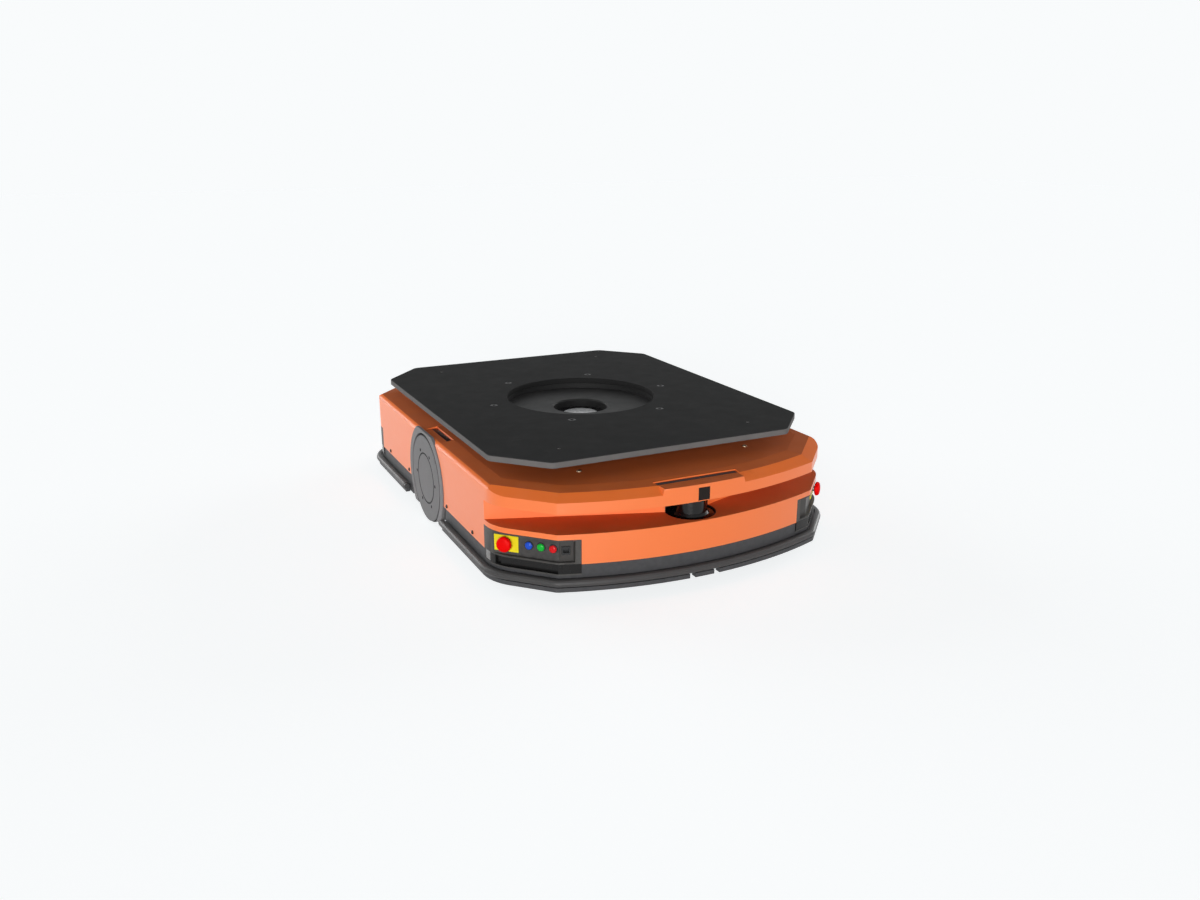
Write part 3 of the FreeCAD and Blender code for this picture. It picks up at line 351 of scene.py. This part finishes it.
frame_coat = powder_coat("frame_powder_coat", 62, 62, 64, 0.5, Specular_IOR_Level=0.25)
dress(frame_coat, "base_frame", "bumper_rails")
black_oxide = brushed_metal("black_oxide_screws", 44, 44, 46, 0.4, 0.7)
PAN_UNDERSIDE, PAN_HEAD_R = 0.0238, 0.0048
PAN_SCREW_XY = ((0.1, 0.48), (0.25, 0.25), (0.14, 0.14), (0.3, 0.14))
pan_places = [((x * sx, y * sy, PAN_UNDERSIDE), (0, 0, -1))
              for x, y in PAN_SCREW_XY for sx in (-1, 1) for sy in (-1, 1)]
screws("pan_screws", button_head, PAN_HEAD_R, pan_places, black_oxide, "chassis")


# ======================================================================
# Drive units and wheels: gearmotors in satin black, wheels of turned and
# anodised aluminium closed to the outside, cast polyurethane treads.
# ======================================================================
motor_coat = powder_coat("motor_satin_black", 38, 38, 40, 0.42)
dress(motor_coat, "left_drive_unit", "right_drive_unit", "lift_motor", "turntable_motor")
WHEEL_CENTRE = (0.0, 0.0, 0.1)
BOLT_CIRCLE, BOLT_FACE_X, BOLT_HEAD_R = 0.066, 0.3809, 0.0029
BOLT_SHADE_R = 0.004
LINE_IN, LINE_OUT = 0.0545, 0.0584      # radii of the dark line turned into the disc
SCUFF_R = (0.088, 0.097)                # scuffs grow outwards between these
TREAD_DUST_R = (0.03, 0.037)            # dust lies outside these, at the running face


def six_round(radius):
    """Six points evenly on a circle about the origin."""
    angles = [math.radians(60 * k) for k in range(6)]
    return [(radius * math.cos(a), radius * math.sin(a)) for a in angles]


BOLT_PLACES = [(y, WHEEL_CENTRE[2] + z) for y, z in six_round(BOLT_CIRCLE)]


def turned_grey():
    """Anodised disc: fine turning rings, a dark line, painted shade round the bolts and scuffs near the
    rim.
    """
    disc = Finish("anodised_wheel_disc", metallic=0.1, Specular_IOR_Level=0.2)
    radius = disc.radius_about("X", WHEEL_CENTRE)
    base = tones(disc, 112, 111, 112, 0.04, 10.0)
    soft = 0.0002
    dark = disc.between(radius, LINE_IN - soft, LINE_IN + soft)
    dark = dark * (1 - disc.between(radius, LINE_OUT - soft, LINE_OUT + soft))
    # painted shade: a dark ring round each bolt head stands for the shade in the recess it sits in
    for y, z in BOLT_PLACES:
        from_bolt = disc.radius_about("X", (0, y, z))
        dark = dark + 1 - disc.between(from_bolt, BOLT_SHADE_R - soft, BOLT_SHADE_R + soft)
    marked = disc.blend(dark.clipped(), base, shade(14, 14, 15))
    scuff = disc.between(radius, *SCUFF_R) * disc.between(disc.noise(60.0, 5.0), 0.52, 0.72) * 0.35
    disc.colour(disc.blend(scuff.clipped(), marked, shade(66, 65, 65)))
    rings = disc.wave(radius, 1300.0)
    disc.rough(rings * 0.06 + disc.noise(25.0) * 0.12 + 0.42)
    return disc.bump(rings, 0.00001, 0.3)


def cast_tread(name, red, green, blue, axis_point=WHEEL_CENTRE):
    """Cast polyurethane: matt, with dust pressed into the running face."""
    tread = Finish(name, Specular_IOR_Level=0.15)
    radius = tread.radius_about("X", axis_point)
    running = tread.between(radius, *TREAD_DUST_R)
    dusty = tread.between(tread.noise(120.0, 5.0), 0.45, 0.75) * running * 0.35
    tread.colour(tread.blend(dusty.clipped(), tones(tread, red, green, blue, 0.08), shade(96, 92, 88)))
    tread.rough(tread.noise(40.0) * 0.15 + 0.55)
    return tread.bump(tread.noise(500.0, 3.0), 0.00006, 0.4)


disc_grey = turned_grey()
dress(disc_grey, "left_wheel", "right_wheel")
tyre_black = cast_tread("drive_tread", 20, 20, 21)
dress(tyre_black, "left_tyre", "right_tyre")
for side, sign in (("left", -1), ("right", 1)):
    places = [((sign * BOLT_FACE_X, y, z), (sign, 0, 0)) for y, z in BOLT_PLACES]
    screws(side + "_wheel_screws", cap_head, BOLT_HEAD_R, places, tyre_black,
           side + "_drive_wheel", 5)


# ======================================================================
# Wheel fairings: pressed steel rings with their well tubes, screwed to the
# covers and painted a shade lighter than the frame.
# ======================================================================
fairing_coat = powder_coat("fairing_satin_grey", 116, 114, 115, 0.5, Specular_IOR_Level=0.25)
dress(fairing_coat, "left_fairing", "right_fairing")


# ======================================================================
# Swivel casters: zinc-plated steel forks with riveted axles, and wheels
# with a pressed hub and a cast tread, one hub and tread to each.
# ======================================================================
zinc = brushed_metal("zinc_plate", 158, 160, 164, 0.38)
CASTER_HUB_R = (0.0285, 0.0292)      # from hub to tread between these
for end in ("front", "rear"):
    for side in ("left", "right"):
        wheel = end + "_" + side + "_caster_wheel"
        low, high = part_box(wheel)
        middle = [(a + b) / 2 for a, b in zip(low, high)]
        tread = cast_tread(wheel + "_finish", 40, 40, 42, middle)
        from_axle = tread.radius_about("X", middle)
        hub = 1 - tread.between(from_axle, *CASTER_HUB_R)
        made = tread.surface.inputs["Base Color"].links[0].from_socket
        tread.colour(tread.blend(hub, made, shade(120, 121, 124)))
        dress(tread, wheel)
        dress(zinc, end + "_" + side + "_caster_fork")


# ======================================================================
# Bays inside the frame: battery in a painted case, controller under its
# extruded fins, lift base with columns, screws, pulleys and toothed belt.
# ======================================================================
dress(powder_coat("battery_case_paint", 72, 76, 82, 0.5), "battery_pack")


def extruded():
    """Clear anodised extrusion with long die lines along X."""
    profile = Finish("extruded_heat_sink", metallic=0.8)
    profile.colour(tones(profile, 122, 124, 127, 0.05, 12.0))
    lines = profile.noise(1.0, 3.0, profile.stretched((8.0, 900.0, 900.0)))
    profile.rough(lines * 0.2 + 0.3)
    return profile.bump(lines, 0.00003, 0.4)


dress(extruded(), "control_box")
ground = brushed_metal("ground_steel", 150, 150, 152, 0.3)
dress(ground, "lift_base", "lift_screw_1", "lift_screw_2", "lift_screw_3", "lift_pulley", "lidar_mirror",
      "left_estop_stem", "right_estop_stem")


def belt_rubber():
    """Moulded belt with a faint cross weave on its back."""
    belt = Finish("toothed_belt", Specular_IOR_Level=0.3)
    belt.colour(tones(belt, 28, 28, 28, 0.15, 40.0))
    ribs = belt.wave(belt.height(), 900.0)
    belt.rough(belt.noise(60.0) * 0.15 + 0.62)
    return belt.bump(ribs, 0.00008, 0.5)


dress(belt_rubber(), "lift_belt")


# ======================================================================
# Lift table and slewing ring: painted casting with machined race, steel
# gear teeth with a film of oil, pinion on the hanging gearmotor.
# ======================================================================
def table_casting():
    """Painted casting with an uneven tone, a little dust and a faint orange-peel surface."""
    cast = Finish("painted_casting", Specular_IOR_Level=0.1)
    cast.colour(cast.dusted(tones(cast, 42, 42, 42, 0.12, 9.0), 0.05))
    cast.rough(cast.noise(30.0) * 0.15 + 0.45)
    return cast.bump(cast.noise(260.0, 4.0), 0.00015, 0.4)


dress(table_casting(), "lift_table")


def oiled_gear():
    """Black oxide gear steel with wet patches of oil near the teeth."""
    gear = Finish("oiled_gear_steel", metallic=0.85)
    wet = gear.between(gear.noise(45.0, 4.0), 0.45, 0.65)
    gear.colour(gear.blend(wet * 0.6, tones(gear, 92, 91, 90, 0.1, 20.0), shade(46, 40, 32)))
    gear.rough(0.42 - wet * 0.2)
    return gear.bump(gear.noise(700.0, 2.0), 0.00003, 0.3)


dress(oiled_gear(), "ring_gear", "pinion")


# ======================================================================
# Upward camera: moulded cup under the table's bore, closed by a white
# diffuser window over its ring light, with a dark lens in the middle.
# ======================================================================
def gloss_black(name, red, green, blue, roughness=0.16, **fixed):
    """Polished black moulding with soft swirls where it has been wiped."""
    gloss = Finish(name, **fixed)
    gloss.colour(tones(gloss, red, green, blue, 0.15, 18.0))
    gloss.rough(gloss.between(gloss.noise(70.0, 5.0), 0.35, 0.8) * 0.16 + roughness)
    return gloss.bump(gloss.noise(160.0, 2.0), 0.00002, 0.2)


black_gloss = gloss_black("polished_black", 20, 20, 21)
dress(black_gloss, "camera_unit")


def diffuser():
    """Opal window, painted paler in a ring over the ring light as a painted glow, a little dimmer in the
    middle.
    """
    opal = Finish("opal_window", Coat_Weight=0.5, Coat_Roughness=0.08)
    radius = opal.radius_about("Z", (0, 0, 0))
    soft = opal.between(radius, 0.012, 0.03)
    # painted glow: the window is painted paler away from the middle, for the ring light shining through
    # it
    painted_ring_glow = soft * 0.8 + opal.noise(40.0) * 0.2
    opal.colour(opal.blend(painted_ring_glow, shade(206, 208, 210), shade(238, 239, 240)))
    opal.rough(opal.noise(90.0) * 0.1 + 0.22)
    return opal


dress(diffuser(), "camera_window")


# ======================================================================
# Load plate: 12 mm steel, flame cut, its top coated black with a fine
# texture and its outer edge painted paler as painted side light; six countersunk screws hold it.
# ======================================================================
PAINTED_EDGE_LIGHT_R = (0.25, 0.26)      # only the outer edge lies beyond these, not the bore's


def plate_finish():
    """Textured black on top with light scratches, the outer edge's side faces painted greyer as painted
    side light.
    """
    coat = Finish("plate_texture_coat", Specular_IOR_Level=0.03)
    top = tones(coat, 37, 37, 37, 0.05, 5.0)
    scratch = coat.noise(1.0, 5.0, coat.stretched((9.0, 260.0, 40.0)))
    top = coat.blend(coat.between(scratch, 0.66, 0.74) * 0.12, top, shade(96, 96, 97))
    # painted side light: the outer edge's side faces are painted a paler grey than the top, for the light
    # that falls on them from the side
    edge = tones(coat, 112, 111, 110, 0.08, 30.0)
    outside = coat.between(coat.radius_about("Z", (0, 0, 0)), *PAINTED_EDGE_LIGHT_R)
    painted_side_light = (1 - coat.facing((0, 0, 1))) * outside
    coat.colour(coat.blend(painted_side_light, top, edge))
    coat.rough(coat.noise(30.0) * 0.14 + 0.6)
    return coat.bump(coat.grain(1000.0) * 0.6 + coat.noise(1100.0, 2.0) * 0.4, 0.0001, 0.3)


dress(plate_finish(), "load_plate")
PLATE_SCREW_CIRCLE, PLATE_HEAD_R, PLATE_HEAD_SUNK = 0.2157, 0.0088, 0.0006
plate_head_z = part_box("load_plate")[1][2] - PLATE_HEAD_SUNK
plate_places = [((x, y, plate_head_z), (0, 0, 1)) for x, y in six_round(PLATE_SCREW_CIRCLE)]
blackened = brushed_metal("blackened_screws", 24, 24, 25, 0.5, 0.2)
screws("plate_screws", flush_head, PLATE_HEAD_R, plate_places, blackened, "turntable", 8)


# ======================================================================
# Orange covers, front and rear: vacuum-formed shells with a satin coat,
# screwed to the frame low on the sides and twice on top behind the brow,
# their edges a little rounded. The lidar's well is lined in black.
# ======================================================================
WELL_CENTRE, WELL_RADIUS, WELL_TOP = (0.0, -0.505, 0.0), 0.0504, 0.166
COVER_EDGE, COVER_CREASE = 0.0014, math.radians(18.0)


def satin_orange():
    """Satin coat over the shell: slow tone changes, rubbing marks, painted shade on what lies level."""
    paint = Finish("orange_satin_coat", Specular_IOR_Level=0.22, Coat_Roughness=0.45, Coat_IOR=1.6)
    base = tones(paint, 252, 124, 53, 0.01, 4.0)
    upward = paint.facing((0, 0, 1))
    paint.feed(paint.surface.inputs["Coat Weight"], 1.0 - paint.between(upward, 0.25, 0.8))
    rub = paint.noise(1.0, 5.0, paint.stretched((30.0, 30.0, 160.0)))
    base = paint.blend(paint.between(rub, 0.64, 0.74) * 0.08, base, shade(250, 150, 104))
    # painted shade: faces that lie level are darkened towards brown, for the weak light from above
    painted_top_shade = paint.between(upward, 0.92, 0.99) * (paint.noise(9.0, 4.0) * 0.2 + 0.36)
    base = paint.blend(painted_top_shade, base, shade(92, 48, 24))
    from_well = paint.radius_about("Z", WELL_CENTRE)
    in_well = 1 - paint.between(from_well, WELL_RADIUS, WELL_RADIUS + 0.0006)
    in_well = in_well * (1 - paint.between(paint.height(), WELL_TOP - 0.001, WELL_TOP))
    paint.colour(paint.blend(in_well, paint.dusted(base, 0.03), shade(14, 13, 13)))
    paint.rough(paint.noise(60.0) * 0.1 + upward * 0.45 + 0.4)
    return paint.bump(paint.noise(380.0, 2.0), 0.00005, 0.25)


body_of = {node: body for body, members in frame["record"]["behaviour"]["bodies"].items()
           for node in members}


def softened(name, finish, width, crease):
    """A copy of a CAD node, its edges above the crease angle broken, standing in for the node."""
    mesh = nodes[name].data.copy()
    work = bmesh.new()
    work.from_mesh(mesh)
    bmesh.ops.remove_doubles(work, verts=work.verts, dist=0.00001)
    bmesh.ops.dissolve_limit(work, angle_limit=math.radians(0.4), verts=work.verts, edges=work.edges)
    work.to_mesh(mesh)
    work.free()
    piece = bpy.data.objects.new(name + "_finished", mesh)
    bpy.context.scene.collection.objects.link(piece)
    mesh.materials.clear()
    mesh.materials.append(finish.material)
    mesh.shade_smooth()
    mesh.set_sharp_from_angle(angle=crease)
    edge = piece.modifiers.new("broken_edges", "BEVEL")
    edge.width = width
    edge.segments = 2
    edge.limit_method = "ANGLE"
    edge.angle_limit = crease
    edge.harden_normals = True
    edge.use_clamp_overlap = True
    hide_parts(name)
    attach(piece, body_of[name])


orange = satin_orange()
for cover in ("front_cover", "rear_cover"):
    softened(cover, orange, COVER_EDGE, COVER_CREASE)
SIDE_X, SIDE_SCREW_Z, SIDE_HEAD_R = 0.3801, 0.079, 0.0042
SIDE_SCREW_Y = (-0.303, -0.14, 0.14, 0.303)
side_places = [((sx * SIDE_X, y, SIDE_SCREW_Z), (sx, 0, 0)) for sx in (-1, 1) for y in SIDE_SCREW_Y]
screws("cover_side_screws", button_head, SIDE_HEAD_R, side_places, black_oxide, "chassis", 11)
yellow_zinc = brushed_metal("yellow_zinc_screws", 178, 158, 132, 0.35)
TOP_SCREW_X, TOP_SCREW_Y, TOP_SCREW_Z, TOP_HEAD_R = 0.192, 0.402, 0.2089, 0.0048
top_places = [((sx * TOP_SCREW_X, sy * TOP_SCREW_Y, TOP_SCREW_Z), (0, 0, 1))
              for sx in (-1, 1) for sy in (-1, 1)]
screws("cover_top_screws", button_head, TOP_HEAD_R, top_places, yellow_zinc, "chassis", 12)


# ======================================================================
# Blank label plates: thin dark films in the shallow pockets of the nose
# and of both sides, and one on the face of the brow. They carry nothing.
# ======================================================================
label_film = Finish("label_film", Specular_IOR_Level=0.1)
label_film.colour(tones(label_film, 38, 32, 30, 0.1, 30.0))
label_film.rough(label_film.noise(50.0) * 0.12 + 0.3)
label_film.bump(label_film.noise(700.0, 2.0), 0.00002, 0.3)


def film(name, corners, thick, outward):
    """A thin plate over a quad of corners, its rim rounded off towards the outside."""
    lift = Vector(outward) * thick
    most_inset = 0.12
    middle = sum((Vector(c) for c in corners), Vector()) / len(corners)
    base = [Vector(c) for c in corners]
    rim = [c + lift * 0.6 for c in base]
    reach = [min(most_inset, thick * 2 / (c - middle).length) for c in base]
    top = [c + (middle - c) * r + lift for c, r in zip(base, reach)]
    mesh = bpy.data.meshes.new(name)
    count = len(corners)
    faces = [tuple(range(2 * count, 3 * count)), tuple(reversed(range(count)))]
    for k in range(count):
        n = (k + 1) % count
        faces += [(k, n, count + n, count + k), (count + k, count + n, 2 * count + n, 2 * count + k)]
    mesh.from_pydata(base + rim + top, [], faces)
    link(name, mesh, label_film, "chassis")


FILM_T = 0.0004
POCKET_FLOOR_Z = 0.205
NOSE_LABEL_X, NOSE_LABEL_Y = (-0.089, 0.089), (-0.5315, -0.5205)
SIDE_LABEL_X, SIDE_LABEL_Y = (0.3445, 0.3565), (-0.087, 0.023)
BROW_LABEL_X, BROW_LABEL_Z = (-0.017, 0.008), (0.1725, 0.1985)
NOSE_RADIUS, NOSE_CENTRE = 0.829, 0.267


def level_film(name, across, along):
    """A film lying level on the floor of its pocket."""
    (x0, x1), (y0, y1) = across, along
    corners = ((x0, y0), (x1, y0), (x1, y1), (x0, y1))
    film(name, [(x, y, POCKET_FLOOR_Z) for x, y in corners], FILM_T, (0, 0, 1))


level_film("nose_label", NOSE_LABEL_X, NOSE_LABEL_Y)
level_film("left_side_label", [-x for x in reversed(SIDE_LABEL_X)], SIDE_LABEL_Y)
level_film("right_side_label", SIDE_LABEL_X, SIDE_LABEL_Y)


def nose_face(x, z):
    """Point on the bowed face of the nose."""
    return (x, NOSE_CENTRE - math.sqrt(NOSE_RADIUS ** 2 - x ** 2) - 0.00005, z)


(x_left, x_right), (z_low, z_high) = BROW_LABEL_X, BROW_LABEL_Z
brow_corners = ((x_left, z_low), (x_right, z_low), (x_right, z_high), (x_left, z_high))
film("brow_label", [nose_face(x, z) for x, z in brow_corners], FILM_T, (0, -1, 0))


# ======================================================================
# Lidar: cast drum in gloss black under a tinted window, the fixed cap held
# by a rear post; it stands in the well of the slot.
# ======================================================================
lidar_gloss = gloss_black("lidar_housing", 14, 13, 14, 0.2, Specular_IOR_Level=0.2)
dress(lidar_gloss, "lidar_base")


def tinted_window():
    """Window of tinted polycarbonate, almost black, mirror smooth with faint wipe marks."""
    tint = Finish("tinted_scan_window", Specular_IOR_Level=0.35)
    tint.colour(tones(tint, 10, 9, 10, 0.2, 30.0))
    wipe = tint.noise(1.0, 4.0, tint.stretched((60.0, 60.0, 600.0)))
    tint.rough(wipe * 0.08 + 0.06)
    return tint


dress(tinted_window(), "lidar_window")


# ======================================================================
# Corner consoles: injection moulded in dark grey with a spark texture,
# their low bays glossy; a lamp lens wraps the outer corner of each.
# ======================================================================
def spark_texture(name, red, green, blue, roughness=0.44):
    """Moulded plastic with a fine spark-eroded texture, glossier where hands rub it."""
    plastic = Finish(name, Specular_IOR_Level=0.25)
    plastic.colour(plastic.worn(tones(plastic, red, green, blue, 0.06, 16.0), shade(120, 119, 116), 0.4))
    plastic.rough(plastic.noise(40.0) * 0.14 + (roughness - 0.07))
    return plastic.bump(plastic.noise(1300.0, 3.0), 0.00006, 0.5)


BAY_FLOOR_Z, BAY_TOP_Z = 0.0525, 0.0721


def console_finish():
    """Textured frame in grey, gloss black inside the low bay between two heights."""
    shell = spark_texture("console_moulding", 64, 62, 60)
    z = shell.height()
    soft = 0.0003
    low_bay = shell.between(z, BAY_FLOOR_Z - soft, BAY_FLOOR_Z + soft)
    low_bay = low_bay * (1 - shell.between(z, BAY_TOP_Z - soft, BAY_TOP_Z + soft))
    grey = shell.surface.inputs["Base Color"].links[0].from_socket
    shell.colour(shell.blend(low_bay, grey, shade(22, 21, 21)))
    shell.rough(0.4 - low_bay * 0.18 + shell.noise(40.0) * 0.1)
    return shell


consoles = ["front_left_console", "front_right_console", "rear_left_console", "rear_right_console"]
dress(console_finish(), *consoles)
dress(spark_texture("panel_moulding", 46, 44, 44, 0.38), "button_panel")
dress(gloss_black("bezel_black", 26, 26, 27, 0.2), "button_bezels", "io_port")


def lamp_lens():
    """Smoky diffuser of a corner lamp that is off, with fine upright flutes."""
    lens = Finish("corner_lamp_lens", Coat_Weight=0.3, Coat_Roughness=0.08)
    flutes = lens.noise(1.0, 2.0, lens.stretched((700.0, 700.0, 2.0)))
    lens.colour(lens.blend(flutes, shade(92, 92, 92), shade(126, 126, 125)))
    lens.rough(lens.noise(60.0) * 0.1 + 0.22)
    return lens.bump(flutes, 0.00008, 0.5)


dress(lamp_lens(), "corner_lamps")


# ======================================================================
# Emergency stops and push buttons: red mushroom heads on steel stems over
# yellow plates, and three glossy moulded buttons in black bezels.
# ======================================================================
def moulded(name, red, green, blue, roughness=0.24, coat=0.12):
    """Coloured moulding: even gloss with a trace of flow lines and fingertips."""
    cap = Finish(name, Specular_IOR_Level=0.1, Coat_Weight=coat, Coat_Roughness=0.12)
    cap.colour(tones(cap, red, green, blue, 0.03, 60.0))
    cap.rough(cap.between(cap.noise(180.0, 4.0), 0.4, 0.8) * 0.14 + roughness)
    return cap.bump(cap.noise(500.0, 2.0), 0.00002, 0.3)


dress(moulded("yellow_plate_moulding", 240, 225, 38, 0.36, 0.1), "estop_plates")
dress(moulded("stop_red_moulding", 242, 1, 1, 0.5, 0.0), "left_estop_head", "right_estop_head")
dress(moulded("button_red_moulding", 218, 24, 30), "red_button")
dress(moulded("button_blue_moulding", 34, 82, 204), "blue_button")
dress(moulded("button_green_moulding", 22, 184, 58), "green_button")


# ======================================================================
# Bumpers: hollow rolls of extruded rubber pushed over the rail, their cut
# ends closed by moulded plugs.
# ======================================================================
def extruded_rubber():
    """Extruded rubber: satin, with faint lines along it and a grey bloom in patches."""
    rubber = Finish("extruded_rubber", Specular_IOR_Level=0.25)
    bloom = rubber.between(rubber.noise(14.0, 5.0), 0.42, 0.75) * 0.12
    black = tones(rubber, 70, 69, 69, 0.06, 9.0)
    rubber.colour(rubber.blend(bloom.clipped(), black, shade(104, 103, 102)))
    lines = rubber.noise(1.0, 3.0, rubber.stretched((3.0, 3.0, 700.0)))
    rubber.rough(lines * 0.14 + 0.38)
    return rubber.bump(lines, 0.00004, 0.35)


dress(extruded_rubber(), "front_bumper", "rear_bumper", "bumper_end_plugs")


# ======================================================================
# Charging contacts at the tail: two bare copper rails, tarnished a little,
# in a black insulating block held by two screws.
# ======================================================================
def bare_copper():
    """Copper, brightened where the charger wipes along it and brown elsewhere."""
    copper = Finish("bare_copper", metallic=1.0)
    wiped = copper.noise(1.0, 4.0, copper.stretched((12.0, 500.0, 500.0)))
    tarnish = copper.between(copper.noise(55.0, 5.0), 0.45, 0.7)
    bright = copper.blend(wiped, shade(196, 118, 76), shade(222, 148, 108))
    copper.colour(copper.blend(tarnish * 0.6, bright, shade(112, 66, 44)))
    copper.rough(wiped * 0.15 + tarnish * 0.2 + 0.2)
    return copper.bump(wiped, 0.00002, 0.3)


dress(bare_copper(), "contact_rails")
dress(spark_texture("insulating_block", 34, 34, 35, 0.5), "charge_contacts")
BLOCK_SCREW_X, BLOCK_FACE_Y, BLOCK_SCREW_Z, BLOCK_HEAD_R = 0.0565, 0.5583, 0.102, 0.0026
block_places = [((sx * BLOCK_SCREW_X, BLOCK_FACE_Y, BLOCK_SCREW_Z), (0, 1, 0)) for sx in (-1, 1)]
screws("contact_block_screws", button_head, BLOCK_HEAD_R, block_places, black_oxide,
       "chassis", 14)


# ======================================================================
# Studio: a seamless pale floor, three soft low lamps round the robot, a
# faint even sky and the camera.
# ======================================================================
# eye and aim in metres, roll in degrees, lens in millimetres
EYE = Vector((-0.9983, -2.1280, 0.8428))
AIM = Vector((0.0517, 0.0, 0.1074))
ROLL = 0.1379
FOCAL = 30.92
camera_data = bpy.data.cameras.new("camera")
camera_data.lens = FOCAL
camera_data.sensor_width = 36.0
camera = bpy.data.objects.new("camera", camera_data)
bpy.context.scene.collection.objects.link(camera)
look = (AIM - EYE).normalized()
right = look.cross(Vector((0, 0, 1))).normalized()
up = right.cross(look)
roll = math.radians(ROLL)
right_rolled = right * math.cos(roll) + up * math.sin(roll)
up_rolled = up * math.cos(roll) - right * math.sin(roll)
turn = Matrix((right_rolled, up_rolled, -look)).transposed()
camera.matrix_world = Matrix.Translation(EYE) @ turn.to_4x4()
bpy.context.scene.camera = camera

WORLD_LEVEL = 0.14
# name, direction to the lamp, watts per square metre, apparent size in degrees
LAMPS = (
    ("front_lamp", (-0.6, -1.0, 0.1), 3.5, 36.0),
    ("rear_left_lamp", (-0.45, 0.85, 0.05), 2.2, 50.0),
    ("right_lamp", (1.0, 0.3, 0.08), 1.8, 40.0),
)


def over_horizon(height, size):
    """Mean height of a lamp's round disc, what lies under the horizon counting as none."""
    spread = math.sin(math.radians(size / 2))
    t = min(1.0, height / spread)
    lens = t * (math.pi / 4 + (t * math.sqrt(1 - t * t) + math.asin(t)) / 2)
    return spread * 2 / math.pi * (lens + (1 - t * t) ** 1.5 / 3)


floor_light = WORLD_LEVEL
for name, direction, strength, size in LAMPS:
    data = bpy.data.lights.new(name, "SUN")
    data.energy = strength
    data.angle = math.radians(size)
    lamp = bpy.data.objects.new(name, data)
    bpy.context.scene.collection.objects.link(lamp)
    lamp.rotation_mode = "QUATERNION"
    towards = Vector(direction).normalized()
    lamp.rotation_quaternion = towards.to_track_quat("Z", "Y")
    floor_light += strength * over_horizon(towards.z, size) / math.pi

PALE = (0.947, 0.965, 0.973, 1.0)
FLOOR_TONE = 0.9          # share of light the floor returns
SHADOW_SHARE = 0.5        # how much of the floor's look is lit by the lamps
HALF_FLOOR, FLOOR_Z = 14.0, -0.0005
floor_mesh = bpy.data.meshes.new("floor")
quarter_turns = ((-1, -1), (1, -1), (1, 1), (-1, 1))
floor_corners = [(x * HALF_FLOOR, y * HALF_FLOOR, FLOOR_Z) for x, y in quarter_turns]
floor_mesh.from_pydata(floor_corners, [], [(0, 1, 2, 3)])
floor = bpy.data.objects.new("floor", floor_mesh)
bpy.context.scene.collection.objects.link(floor)
lit = FLOOR_TONE * floor_light
glow = (1.0 - SHADOW_SHARE * lit) / (1.0 - SHADOW_SHARE)


def sees_backdrop(tree):
    """1 for rays that look at the backdrop: from the camera, a mirror or a window."""
    path = tree.nodes.new("ShaderNodeLightPath")
    kinds = ("Camera", "Glossy", "Transmission")
    return sum(Number(tree, path.outputs["Is %s Ray" % kind]) for kind in kinds).clipped()


stage_floor = Finish("studio_floor")
lit_tone = [c * FLOOR_TONE for c in PALE[:3]] + [1.0]
lit_face = stage_floor.node("ShaderNodeBsdfDiffuse", {}, {"Color": lit_tone})
glowing = stage_floor.node("ShaderNodeEmission", {}, {"Color": PALE, "Strength": glow})
glow_share = sees_backdrop(stage_floor.tree) * (1 - SHADOW_SHARE)
mixed = stage_floor.node("ShaderNodeMixShader", {}, {0: glow_share})
stage_floor.tree.links.new(lit_face.outputs[0], mixed.inputs[1])
stage_floor.tree.links.new(glowing.outputs[0], mixed.inputs[2])
stage_floor.tree.links.new(mixed.outputs[0], stage_floor.tree.nodes["Material Output"].inputs["Surface"])
stage_floor.tree.nodes.remove(stage_floor.surface)
floor_mesh.materials.append(stage_floor.material)

world = bpy.data.worlds.new("studio")
bpy.context.scene.world = world
world.use_nodes = True
sky = world.node_tree
level = sky.nodes.new("ShaderNodeMapRange")
level.inputs["To Min"].default_value = WORLD_LEVEL
level.inputs["To Max"].default_value = 1.0
sky.links.new(sees_backdrop(sky).socket, level.inputs["Value"])
background = sky.nodes["Background"]
background.inputs["Color"].default_value = PALE
sky.links.new(level.outputs[0], background.inputs["Strength"])
bpy.context.scene.view_settings.view_transform = "Standard"
